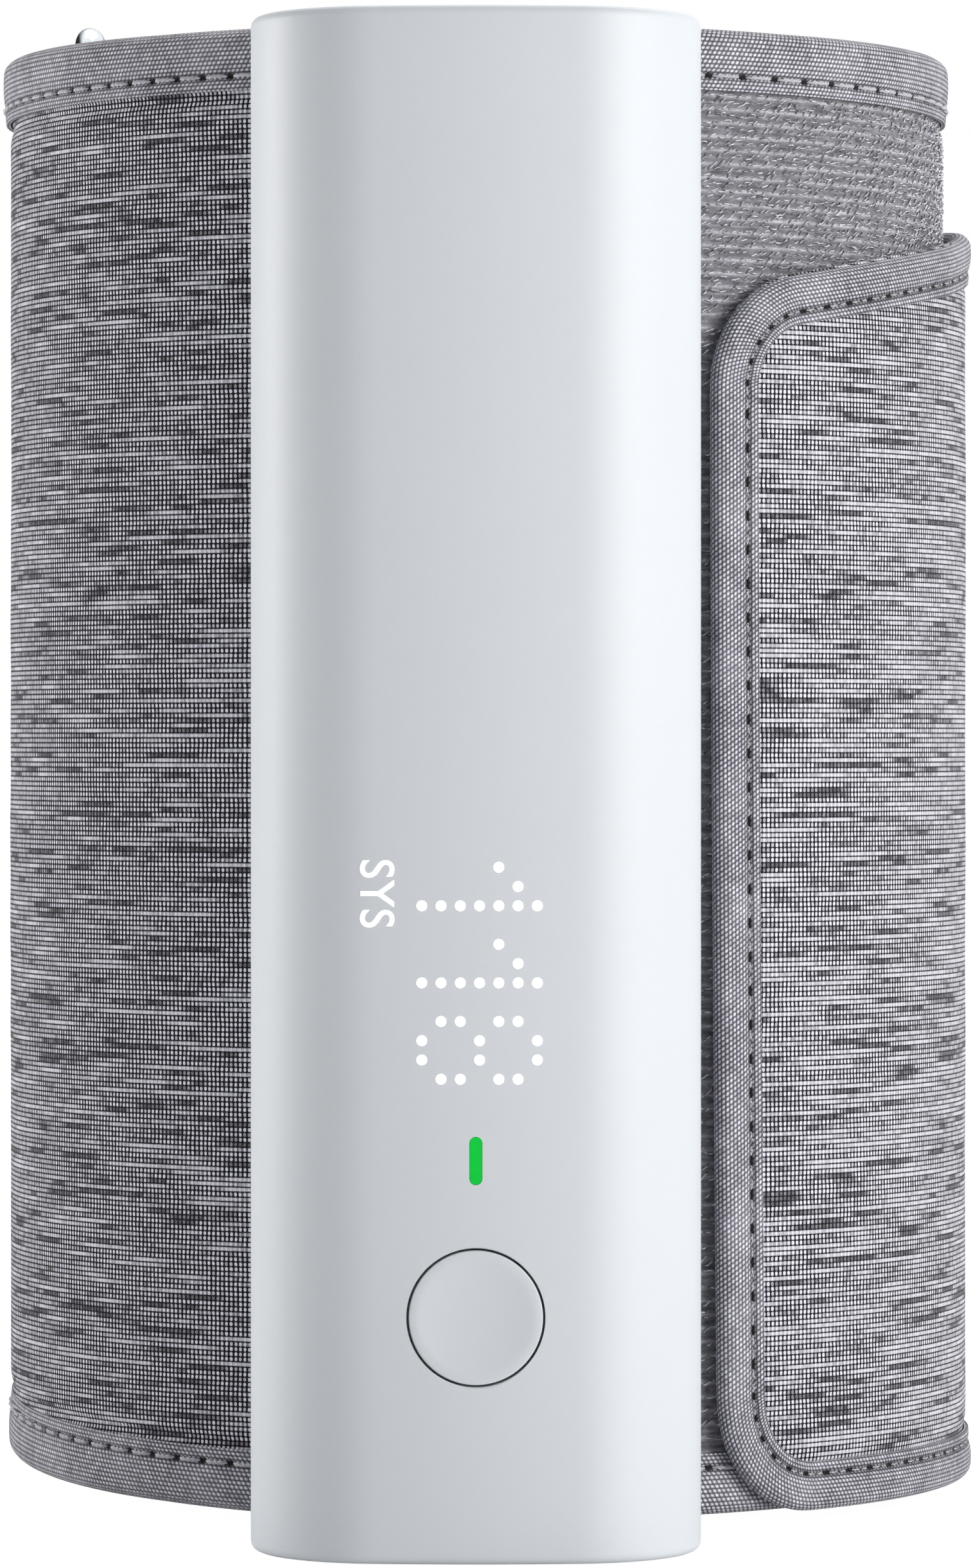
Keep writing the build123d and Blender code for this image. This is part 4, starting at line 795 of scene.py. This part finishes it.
def ribbed_tape(name, stitch, seam_at, painted_seam_shade_strength, hole_along=0.62 * mm, hole_across=0.42 * mm):
    """Ribbed tape on its own map: staggered pale beads in rows, with painted shade in the needle holes where
    the thread goes down and a painted shadow along the seam."""
    bead_pitch, row_pitch = 0.56 * mm, 0.44 * mm
    material, tree, shader = finish_of(
        name, (0.3, 0.29, 0.33), 0.7, Sheen_Weight=0.3, Sheen_Roughness=0.3, Specular_IOR_Level=0.2
    )
    math = sums(tree)
    along, across = cloth_map(tree)
    row_place = math("DIVIDE", across, row_pitch)
    slanted = math("MULTIPLY_ADD", math("FRACT", row_place), 0.35, math("DIVIDE", along, bead_pitch))
    bead_place = math("MULTIPLY_ADD", math("FLOOR", row_place), 0.5, slanted)
    bead = math("MULTIPLY", rounded(math, bead_place), rounded(math, row_place))
    chance, cloud = cloth_noise(tree, 900.0, 2.0), cloth_noise(tree, 120.0, 2.0)
    pale = math("MULTIPLY", math("POWER", bead, 1.4), math("MULTIPLY_ADD", chance, 1.5, 0.1))
    shade = math("ADD", pale, math("MULTIPLY_ADD", cloud, 0.4, -0.2), None, True)
    colour = put(tree, "MixRGB", shade, (0.07, 0.07, 0.09, 1), (0.92, 0.9, 0.99, 1))
    # Painted shade: the colour is darkened in the needle holes and in a band along the seam's furrow.
    near = math("PINGPONG", along, stitch / 2)
    off_seam = math("SUBTRACT", across, seam_at)
    from_hole = (math("DIVIDE", near, hole_along), math("DIVIDE", off_seam, hole_across))
    far = math("ADD", *(math("POWER", distance, 2.0) for distance in from_hole))
    painted_hole_shade = spread(tree, far, 0.45, 1.3, 0.08)
    line = spread(tree, math("ABSOLUTE", off_seam), 0.25 * mm, 0.75 * mm, 1 - painted_seam_shade_strength)
    painted_shade = math("MULTIPLY", painted_hole_shade, line)
    shadowed = put(tree, "MixRGB", 1.0, colour, painted_shade, blend_type="MULTIPLY")
    tree.links.new(shadowed, shader.inputs["Base Color"])
    relief(tree, shader, bead, 0.1 * mm)
    return material


def stitches(name, place, length, stitch, seam_at, height, thick=0.43 * mm, rise=0.2 * mm):
    """Row of stitches: each is a two-ply thread, an oval section that twists as it goes along, and dives
    into the tape at both ends."""
    middles = (np.arange(int(length / stitch)) + 0.5)[:, None, None] * stitch
    share = np.linspace(-1, 1, 9)[:, None]
    around = np.linspace(0, 2 * np.pi, 6, endpoint=False)
    twist = 2.2 * np.pi * share
    taper = np.sqrt(np.clip(1.02 - share**4, 0.02, 1))
    long_way, short_way = 0.62 * thick * taper * np.cos(around), 0.4 * thick * taper * np.sin(around)
    aside = long_way * np.cos(twist) - short_way * np.sin(twist)
    lift = long_way * np.sin(twist) + short_way * np.cos(twist)
    dive = height + rise * (1 - 2.2 * share**4)
    return tubes(name, place(middles + 0.42 * stitch * share, seam_at + aside, dive + lift))


def edge_of_cuff(start, height_at, upwards):
    """Function that gives the places along an edge of the cuff which starts at a heading."""
    def place(along, inward, above):
        """Point from the distances along the edge, in from it and above the cloth: the tape swells past the
        edge, most at the sides of the roll, where the bottom tapes are tucked in."""
        heading = start + np.degrees(along / cuff_radius)
        swollen = edge_swell + np.interp(np.abs(heading), swell_headings, (0, side_swell))
        swollen = swollen * np.clip(1 - inward / seam_from_edge, 0, 1)
        tucked = np.interp(np.abs(heading), tuck_headings, (0, side_tuck)) * (upwards > 0)
        height = height_at(heading) + upwards * (inward - swollen)
        return rolled(cuff_radius + above - tucked, heading, height)
    return place


def flipped(made):
    """Turns the faces of a piece over, where its edge runs the other way."""
    made.data.flip_normals()
    return made


cuff_section = (tape_outer - cuff_radius, tape_inner - cuff_radius, tape_round, tape_width, seam_from_edge)
stitch_height = cuff_section[0] - stitch_sink
thread_grey = moulded("sewing_thread", (0.6, 0.59, 0.65), 0.6, 0.1 * mm, 0.02 * mm, 0.25, Sheen_Weight=0.3)
left_part = (left_end, -seam, left_stitch)
right_part = (seam, right_end, right_stitch)
cuff_edges = (
    ("left_binding_top", left_part, lambda heading: cuff_top, -1),
    ("left_binding_bottom", left_part, left_edge, 1),
    ("right_binding_top", right_part, lambda heading: cuff_top, -1),
    ("right_binding_bottom", right_part, lambda heading: cuff_bottom, 1),
)
for node, (start, end, stitch), height_at, upwards in cuff_edges:
    sweep = end - start
    length = np.radians(sweep) * cuff_radius
    place = edge_of_cuff(start, height_at, upwards)
    made, seam_place = tape(
        node.replace("binding", "edge_tape"), place, length, int(sweep * tape_rows), stitch, cuff_section
    )
    if upwards < 0:
        flipped(made)
    # The tape's colour carries painted shade in its needle holes and a painted shadow along its seam.
    sewn = ribbed_tape(f"ribbed_tape_{node}", stitch, seam_place, painted_seam_shade_strength=0.4)
    belongs(made, sewn)
    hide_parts(node)
    row = stitches(
        node.replace("binding", "stitches"), place, length, stitch, seam_from_edge, stitch_height
    )
    belongs(row, thread_grey)

# ---------------------------------------------------------------- hem and ring
# The left part ends in a hem of its own cloth, turned round one long side of a loop of bent and welded
# steel wire with a chrome finish. The loop swings in the hem.
hem_heading = -114.8
hem_bore = 1.66 * mm
hem_outer = hem_bore + panel_thickness
hem_bottom = 8.0 * mm
hem_distance = cuff_radius - hem_outer
wire_radius = 1.6 * mm
wire_spacing = 10.6 * mm
wire_heading = 178.6


def stepped(start, distance, heading):
    """Point (x, y) at a distance and a heading from another."""
    turned = np.radians(heading)
    return np.array([start[0] + distance * np.sin(turned), start[1] - distance * np.cos(turned)])


def run_of_arcs(*arcs):
    """Length of a run of arcs, and its surface: distance along it and height above its face to (x, y). Each
    arc is its centre, radius, first and last heading, and 1 where its face looks away from the centre or -1
    where it looks at the centre."""
    centres, radii, first, last, facing = (np.array(values, float) for values in zip(*arcs))
    sweeps = np.radians(last - first)
    starts = np.concatenate([[0], np.cumsum(radii * np.abs(sweeps))])

    def surface(along, above):
        """Point (x, y) from the distances along the run and above its face."""
        along, above = np.broadcast_arrays(along, above)
        which = np.clip(np.searchsorted(starts, along, side="right") - 1, 0, len(arcs) - 1)
        turned = np.radians(first)[which] + np.sign(sweeps)[which] * (along - starts[which]) / radii[which]
        reach = radii[which] + facing[which] * above
        return centres[which, 0] + reach * np.sin(turned), centres[which, 1] - reach * np.cos(turned)

    return starts[-1], surface


roll_axis = np.array([0, roll_y])
hem_wire = stepped(roll_axis, hem_distance, hem_heading)
fold_wire = stepped(hem_wire, wire_spacing, wire_heading)
hem_length, hem_surface = run_of_arcs(
    (roll_axis, cuff_radius, left_end - 2 * seam, hem_heading, 1),
    (hem_wire, hem_outer, hem_heading, hem_heading - 180, 1),
    (roll_axis, hem_distance - hem_outer, hem_heading, left_end - 2 * seam, -1),
)
hem_along = np.linspace(0, hem_length, 60)[:, None]
hem_height = np.linspace(hem_bottom, cloth_top, 60)[None, :]


def cloth_on(surface, name, along, above, below, height):
    """Cloth on a run of arcs, between two heights above its face. Its map is the distance along it and its
    height."""
    along, height = np.broadcast_arrays(along, height)
    outer, inner = (np.stack([*surface(along, level), height], -1) for level in (above, below))
    return skin(name, outer, inner, np.stack([along, height], -1))


hem = flipped(cloth_on(hem_surface, "hem", hem_along, 0.0, -panel_thickness, hem_height))
belongs(hem, woven)
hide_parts("ring_hem")
chrome = bare_metal("chrome_plated_wire", (0.9, 0.91, 0.93), 0.06, scratch=0.15)
wire_low, wire_high = (corner[2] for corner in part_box("metal_ring"))
wire_corner = 4.6 * mm
wire_rise = 0.6 * mm


def bent_wire(side_a, side_b, low, high, corner, radius):
    """Loop of wire: a circle carried round a rectangle with round corners, which stands on two lines."""
    apart = side_b - side_a
    width, tall = np.hypot(*apart), high - low
    turned = np.linspace(0, np.pi / 2, 12)
    pieces = []
    for quarter, (over, up) in enumerate(
        ((width - corner, tall - corner), (corner, tall - corner), (corner, corner), (width - corner, corner))
    ):
        angle = turned + quarter * np.pi / 2
        pieces.append(np.stack([over + corner * np.cos(angle), up + corner * np.sin(angle), angle], -1))
    over, up, angle = np.concatenate(pieces).T
    around = np.linspace(0, 2 * np.pi, 20, endpoint=False)[None, :]
    out = radius * np.cos(around)
    over, up = over[:, None] + out * np.cos(angle)[:, None], up[:, None] + out * np.sin(angle)[:, None]
    along, across = apart / width, np.array([-apart[1], apart[0]]) / width
    x = side_a[0] + over * along[0] + radius * np.sin(around) * across[0]
    y = side_a[1] + over * along[1] + radius * np.sin(around) * across[1]
    return np.stack([x, y, low + up], -1)


wire_line = bent_wire(
    hem_wire, fold_wire, wire_low + wire_radius, wire_high + wire_rise - wire_radius, wire_corner, wire_radius
)
ring = tubes("wire_ring", wire_line[None, :, ::-1], ends=False)
belongs(ring, chrome, "ring")
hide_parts("metal_ring")

# ---------------------------------------------------------------- strap and flap
# One strip of the same cloth. From its rounded tip it lies outside the roll, leaves it towards the ring,
# folds round the wire and runs back inside to the right part's end, where it is sewn on.
strip_outer = 55.1 * mm
strip_thickness = 1.9 * mm
flap_thickness = 1.2 * mm
tip_heading, hinge_heading, leaving = 26.6, 100.0, 190.0
tip_top, hinge_top, fold_top = cuff_top - 26.8 * mm, cuff_top - 17.3 * mm, cuff_top - 3.7 * mm
flap_bottom, fold_bottom = 1.2 * mm, 8.0 * mm
tip_lean = 0.8 * mm  # of the tip's edge, away from the tube towards the floor
corner_radius = 13 * mm
strip_tape_width = 5.3 * mm
edge_inset = 0.5 * mm
edge_trim = 0.65 * mm  # of the flap's edge, where the tape rounds it over
trim_start, trim_end = 42 * mm, 62 * mm  # along the strip: all of it up to the first, none past the second
trim_low, trim_high = 3 * mm, 12 * mm  # above the floor: none up to the first, all of it past the second
pressed = 0.35 * mm  # how far the tape pulls the cloth down beside the seam
pressed_from, pressed_over = 4.3 * mm, 2.4 * mm
thicker_over = 4 * mm  # past the hinge
far_step = 0.8 * mm
bend_headings = (4, -3)  # from the hinge: two headings, at which points on the strip are found
fold_gap = 0.85 * mm  # between the wire and the folded strap


def heading_of(away):
    """Heading of a direction (x, y), from 0 to 360."""
    return np.degrees(np.arctan2(away[0], -away[1])) % 360


fold_inner = wire_radius + fold_gap
fold_outer = fold_inner + strip_thickness
fold_distance = np.hypot(*(fold_wire - roll_axis))
fold_heading = heading_of(fold_wire - roll_axis)
return_reach = strip_outer - strip_thickness - fold_inner
return_shift = (fold_distance**2 - return_reach**2) / (
    2 * (return_reach - fold_distance * np.cos(np.radians(fold_heading - leaving)))
)
return_centre = stepped(roll_axis, return_shift, leaving + 180)
return_end = heading_of(fold_wire - return_centre)
strip_arcs = (
    (roll_axis, strip_outer, tip_heading, leaving, 1),
    (return_centre, strip_outer + return_shift, leaving, return_end, 1),
    (fold_wire, fold_outer, return_end, fold_heading + 180, 1),
    (roll_axis, fold_distance - fold_outer, fold_heading, right_end + 2 * seam, -1),
)
strip_length, strip_surface = run_of_arcs(*strip_arcs)
outer_run = run_of_arcs(*strip_arcs[:2])[0]
hinge_along = strip_outer * np.radians(hinge_heading - tip_heading)


def sloping(start_height, end_height):
    """Height of a sloping plane at (x, y), from its heights at the hinge line and at the fold."""
    middle = np.radians((hinge_heading + fold_heading) / 2)
    span = 2 * strip_outer * np.sin(np.radians((fold_heading - hinge_heading) / 2))
    rise = (end_height - start_height) / span
    level = (start_height + end_height) / 2
    return lambda x, y: level + rise * (x * np.cos(middle) + (y - roll_y) * np.sin(middle))


strap_top, strap_bottom = sloping(hinge_top, fold_top), sloping(flap_bottom, fold_bottom)
face_heading = tip_heading + np.degrees(np.arcsin(corner_radius / 2 / strip_outer))
tip_reach = strip_outer * np.sin(np.radians(tip_heading - face_heading))
hinge_reach = strip_outer * np.sin(np.radians(hinge_heading - face_heading))
flap_rise = (hinge_top - tip_top) / (hinge_reach - tip_reach)
slant = np.sqrt(1 + flap_rise**2)


def along_flap(reach):
    """Distance along the strip from its tip, from the distance across the flap seen square to its tip."""
    return strip_outer * (np.radians(face_heading - tip_heading) + np.arcsin(reach / strip_outer))


def strip_outline():
    """Edge of the strip on its own flat face, as distance along and height: from the fold along the top,
    round the tip's two corners, and back along the bottom."""
    back = np.linspace(outer_run, hinge_along, 400)
    forth = back[::-1]
    corner_x = tip_reach + corner_radius
    corner_z = tip_top + (flap_rise - slant) * corner_radius
    top_x = np.linspace(hinge_reach, corner_x - corner_radius * flap_rise / slant, 300)
    turned = np.linspace(np.arctan(flap_rise), np.pi / 2, 120)
    down = np.linspace(corner_z, flap_bottom + corner_radius, 200)
    leaning = tip_lean * np.linspace(0, 1, len(down)) ** 1.5
    turned_low = np.linspace(0, np.pi / 2, 120)
    bottom_x = np.linspace(corner_x + tip_lean, hinge_reach, 300)
    runs = (
        (back, strap_top(*strip_surface(back, 0.0))),
        (along_flap(top_x), tip_top + flap_rise * (top_x - tip_reach)),
        (along_flap(corner_x - corner_radius * np.sin(turned)), corner_z + corner_radius * np.cos(turned)),
        (along_flap(tip_reach + leaning), down),
        (along_flap(corner_x + tip_lean - corner_radius * np.cos(turned_low)),
         flap_bottom + corner_radius * (1 - np.sin(turned_low))),
        (along_flap(bottom_x), np.full_like(bottom_x, flap_bottom)),
        (forth, strap_bottom(*strip_surface(forth, 0.0))),
    )
    along, height = np.concatenate([np.stack(run) for run in runs], 1)
    moved = np.concatenate([[1], np.hypot(np.diff(along), np.diff(height))]) > 1e-7
    return along[moved], height[moved]


edge_along, edge_height = strip_outline()
edge_length = run_length(edge_along, edge_height)
edge_slope = np.gradient(edge_along, edge_length), np.gradient(edge_height, edge_length)
soften = np.ones(9) / 9
inward_along = np.convolve(np.pad(-edge_slope[1], 4, mode="edge"), soften, "valid")
inward_height = np.convolve(np.pad(edge_slope[0], 4, mode="edge"), soften, "valid")


def edge_of_strip(along, inward, above):
    """Place along the strip's edge: distance along it, in from it on the flat strip, and above its face."""
    step_along, step_height, place_along, rim_height = (
        np.interp(along, edge_length, values)
        for values in (inward_along, inward_height, edge_along, edge_height)
    )
    size = np.hypot(step_along, step_height)
    trimmed = np.interp(place_along, (trim_start, trim_end), (edge_trim, 0))
    inward = inward + trimmed * np.interp(rim_height, (trim_low, trim_high), (0, 1))
    place_along = place_along + inward * step_along / size
    height = rim_height + inward * step_height / size
    return np.stack(np.broadcast_arrays(*strip_surface(place_along, above), height), -1)


halfway = np.flatnonzero(edge_along <= edge_along.min() + 1e-9).mean().astype(int)
inset_along = edge_along + (edge_inset + edge_trim) * inward_along
inset_height = edge_height + edge_inset * inward_height
far_rows = np.arange(outer_run + far_step, strip_length, far_step)
tip_rows = inset_along[halfway] + corner_radius * (1 - np.cos(np.linspace(0.06, np.pi / 2, 18)))
strip_rows = np.concatenate([
    tip_rows, np.linspace(tip_rows[-1], outer_run, 125)[1:], far_rows, [strip_length]
])[:, None]
strip_x, strip_y = strip_surface(strip_rows, 0.0)
on_run = strip_rows < outer_run
strip_high = np.where(
    on_run, np.interp(strip_rows, inset_along[halfway::-1], inset_height[halfway::-1]),
    strap_top(strip_x, strip_y) - edge_inset,
)
strip_low = np.where(
    on_run, np.interp(strip_rows, inset_along[halfway:], inset_height[halfway:]),
    strap_bottom(strip_x, strip_y) + edge_inset,
)
strip_share = np.linspace(0, 1, 90)[None, :]
strip_height = strip_low + (strip_high - strip_low) * strip_share
from_edge = np.minimum(np.minimum(strip_high - strip_height, strip_height - strip_low), strip_rows)
settled = np.clip((from_edge - pressed_from) / pressed_over, 0, 1)
settled = settled**2 * (3 - 2 * settled)
strip_wave = 0.1 * mm * ripple(strip_rows, strip_height, 47 * mm, 5)
strip_above = np.where(on_run, (strip_wave + pressed) * settled - pressed, 0)
thicken = np.clip((strip_rows - hinge_along) / thicker_over, 0, 1)
strip_below = -(flap_thickness + (strip_thickness - flap_thickness) * thicken**2 * (3 - 2 * thicken))
strip = cloth_on(strip_surface, "strap_and_flap", strip_rows, strip_above, strip_below, strip_height)
pale_woven = melange("pale_melange_cloth", (0.01, 0.01, 0.016), (0.79, 0.78, 0.86), drift=0.09, gap=0.4)
belongs(strip, pale_woven, None)
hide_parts("strap", "flap_panel")

strip_seam_from_edge = 3.95 * mm
strip_tape_front, strip_tape_back, strip_tape_round = 0.4 * mm, -1.85 * mm, 1.1 * mm
strip_section = (strip_tape_front, strip_tape_back, strip_tape_round, strip_tape_width, strip_seam_from_edge)
strip_stitch = 3.6 * mm
strip_tape, strip_seam = tape(
    "strap_edge_tape", edge_of_strip, edge_length[-1], 760, strip_stitch, strip_section
)
# The strap's tape carries painted shade in its needle holes and a stronger painted shadow along its seam.
strip_ribbed = ribbed_tape(
    "ribbed_strap_tape", strip_stitch, strip_seam, painted_seam_shade_strength=0.6, hole_along=0.85 * mm,
    hole_across=0.34 * mm,
)
belongs(strip_tape, strip_ribbed, None)
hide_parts("flap_binding", "strap_binding_top", "strap_binding_bottom")
strip_stitches = stitches(
    "strap_stitches", edge_of_strip, edge_length[-1], strip_stitch, strip_seam_from_edge,
    height=0.02 * mm, thick=0.34 * mm, rise=0.1 * mm,
)
belongs(strip_stitches, thread_grey, None)
before, after = (rolled(strip_outer, hinge_heading + turned, 70 * mm) for turned in bend_headings)
for made in (strip, strip_tape, strip_stitches):
    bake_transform(made)

# ---------------------------------------------------------------- hook tape
# A dark woven tape with close rows of moulded hooks. It is sewn on under the flap, and grips the loop pile
# wherever the flap is closed on it.
hooks, hooks_tree, hooks_shader = finish_of("hook_tape", (0.05, 0.05, 0.055), 0.6)
hooks_cells = put(hooks_tree, "TexVoronoi", object_place(hooks_tree), None, 1100.0)
hooks_shade = spread(hooks_tree, hooks_cells, 0.1, 0.6, 1.0, 0.0)
tinted(hooks_tree, hooks_shader, hooks_shade, (0.03, 0.03, 0.034), (0.13, 0.13, 0.14))
relief(hooks_tree, hooks_shader, hooks_shade, 0.3 * mm)
dress(hooks, "hook_tape")

# ---------------------------------------------------------------- loops of the pile
# Loops of bulky yarn stand in rows on the right part, for the hook tape to grip. Each is a low arch that
# leans its own way.
loop_rows = 1.45 * mm
pile_headings = (14, right_end - 1)
pile_low, pile_high = cuff_bottom + tape_width + mm, cuff_top - tape_width + 0.4 * mm
pile_split = 80 * mm
open_from = 122 * mm
open_under = 4 * mm  # how far the open pile's finer loops run in under the flap and the strap


def yarn_loops(name, headings, heights, pitch, spacing, rise, yarn, shows, seed):
    """Arches of yarn in rows, where shows(heading, height) is true: the middle line of each is half an
    ellipse along its own slanting direction, and leans."""
    chance = np.random.default_rng(seed)
    in_row = int(np.radians(headings[1] - headings[0]) * cuff_radius / pitch)
    rows = int((heights[1] - heights[0]) / spacing)
    column, row = (grid.ravel() for grid in np.meshgrid(np.arange(in_row), np.arange(rows)))
    scatter = chance.uniform(-1, 1, (6, len(column)))
    middle_along = (column + 0.5 + 0.3 * (row % 2) + 0.35 * scatter[0]) * pitch
    middle_up = heights[0] + (row + 0.5 + 0.2 * scatter[1]) * spacing
    kept = shows(headings[0] + np.degrees(middle_along / cuff_radius), middle_up)
    middle_along, middle_up, scatter = (
        values[..., kept, None, None] for values in (middle_along, middle_up, scatter)
    )
    slanted = np.radians(24 * scatter[2] + 20)
    span = pitch * (0.55 + 0.15 * scatter[3])
    height = rise * (0.75 + 0.25 * scatter[4])
    lean = 0.6 * rise * scatter[5]
    arch = np.linspace(0.1, np.pi - 0.1, 4)[:, None]
    around = np.linspace(0, 2 * np.pi, 3, endpoint=False) + np.pi / 2
    away, aside, out = -np.cos(arch) * span, yarn * np.cos(around), yarn * np.sin(around)
    along = middle_along + away * np.cos(slanted) - aside * np.sin(slanted) - 0.7 * out * np.cos(arch)
    up = middle_up + away * np.sin(slanted) + lean * np.sin(arch) + aside * np.cos(slanted)
    above = (height + out) * np.sin(arch) - 0.1 * mm
    radius = cuff_radius + above - pulled_in(up, cloth_low)
    made = tubes(name, rolled(radius, headings[0] + np.degrees(along / cuff_radius), up))
    made.data.set_sharp_from_angle(angle=np.pi)
    return made


def in_the_open(heading, height):
    """True where the pile shows above the top edge of the flap and the strap."""
    reach = strip_outer * np.sin(np.radians(heading - face_heading))
    on_flap = tip_top + flap_rise * (reach - tip_reach)
    turned = np.radians(heading)
    on_strap = strap_top(strip_outer * np.sin(turned), roll_y - strip_outer * np.cos(turned))
    return height > np.where(heading < hinge_heading, on_flap, on_strap) - open_under


yarn, yarn_tree, yarn_shader = finish_of(
    "pile_yarn", (0.36, 0.36, 0.385), 0.4, Sheen_Weight=0.2, Specular_IOR_Level=0.7
)
yarn_noise = put(yarn_tree, "TexNoise", object_place(yarn_tree), None, 1500.0, 2.0)
yarn_noise = spread(yarn_tree, yarn_noise, 0.35, 0.6)
tinted(yarn_tree, yarn_shader, yarn_noise, (0.13, 0.13, 0.15), (0.95, 0.94, 1))
relief(yarn_tree, yarn_shader, yarn_noise, 0.1 * mm)
open_pile = yarn_loops(
    "open_loops", pile_headings, (open_from, pile_high), pitch=0.9 * mm, spacing=loop_rows / 2,
    rise=0.45 * mm, yarn=0.1 * mm, shows=in_the_open, seed=10,
)
belongs(open_pile, yarn)
for name, heights, seed in (
    ("lower_loops", (pile_low, pile_split), 11), ("upper_loops", (pile_split, pile_high), 12)
):
    covered = yarn_loops(
        name, pile_headings, heights, pitch=1.5 * mm, spacing=loop_rows, rise=0.5 * mm, yarn=0.13 * mm,
        shows=lambda heading, height: ~in_the_open(heading, height), seed=seed,
    )
    belongs(covered, yarn)

# ---------------------------------------------------------------- floor, backdrop and lamps
# A pale floor that keeps the shadow, a white surround, a large lamp at the right, a smaller one behind at
# the left and one above and behind.
floor_size = 40
floor_points = np.array([(-1, -1, 0), (1, -1, 0), (1, 1, 0), (-1, 1, 0)]) * floor_size / 2
floor_points = floor_points - np.array([0, 0, 0.2 * mm])
floor = piece("floor", floor_points, [[0, 1, 2, 3]])
floor_light = 1.27
floor_light_share = 0.75  # of what the camera sees of the floor
paper, paper_tree, paper_shader = finish_of("pale_floor", (0.92, 0.92, 0.92), 0.9)
seen = paper_tree.nodes.new("ShaderNodeLightPath")
white = put(paper_tree, "Emission", (1, 1, 1, 1), floor_light)
direct = put(paper_tree, "Math", seen.outputs["Is Camera Ray"], floor_light_share, operation="MULTIPLY")
mixed = put(paper_tree, "MixShader", direct, paper_shader.outputs[0], white)
paper_tree.links.new(mixed, paper_tree.nodes["Material Output"].inputs["Surface"])
floor.data.materials.append(paper)

world = bpy.data.worlds.new("surround")
bpy.context.scene.world = world
world.use_nodes = True
sky = world.node_tree
rays = sky.nodes.new("ShaderNodeLightPath")
light_level, dark_level, mirrored_dark = 0.36, 0.05, 0.03
direct = put(
    sky, "Math", rays.outputs["Is Camera Ray"], rays.outputs["Is Transmission Ray"], operation="MAXIMUM"
)
towards = put(sky, "SeparateXYZ", sky.nodes.new("ShaderNodeTexCoord").outputs["Generated"]).node.outputs
aside = put(sky, "Math", towards[0], 0.45, towards[1], operation="MULTIPLY_ADD")
plain = spread(sky, aside, -0.9, -0.2, dark_level, light_level)
tilted = put(sky, "Math", towards[0], towards[2], operation="ADD")
mirrored = spread(sky, tilted, 0.0, 0.4, mirrored_dark)
level = spread(sky, rays.outputs["Is Glossy Ray"], 0.0, 1.0, plain, mirrored)
level = spread(sky, direct, 0.0, 1.0, level)
sky.links.new(level, sky.nodes["Background"].inputs["Strength"])
cool = put(sky, "MixRGB", direct, (0.9, 0.96, 1, 1), (1, 1, 1, 1))
sky.links.new(cool, sky.nodes["Background"].inputs["Color"])

lamp_colour = (1, 0.973, 0.942)


def lamp(name, place, aim, size, power):
    """Square lamp at a place, turned towards a point."""
    light = bpy.data.lights.new(name, "AREA")
    light.size = size
    light.energy = power
    light.color = lamp_colour
    made = added(name, light)
    made.location = place
    away = made.location - type(made.location)(aim)
    made.rotation_euler = away.to_track_quat("Z", "Y").to_euler()


lamp("right_lamp", (1.06, -0.76, 0.35), (0, 0.03, 0.08), 0.8, 15.1)
lamp("left_lamp", (-1.15, 0.32, 0.3), (0, 0.05, 0.08), 0.5, 8.9)
lamp("back_lamp", (0.1, 0.75, 1.15), (0, 0.06, 0.1), 0.9, 8.0)

bpy.context.scene.view_settings.view_transform = "Standard"
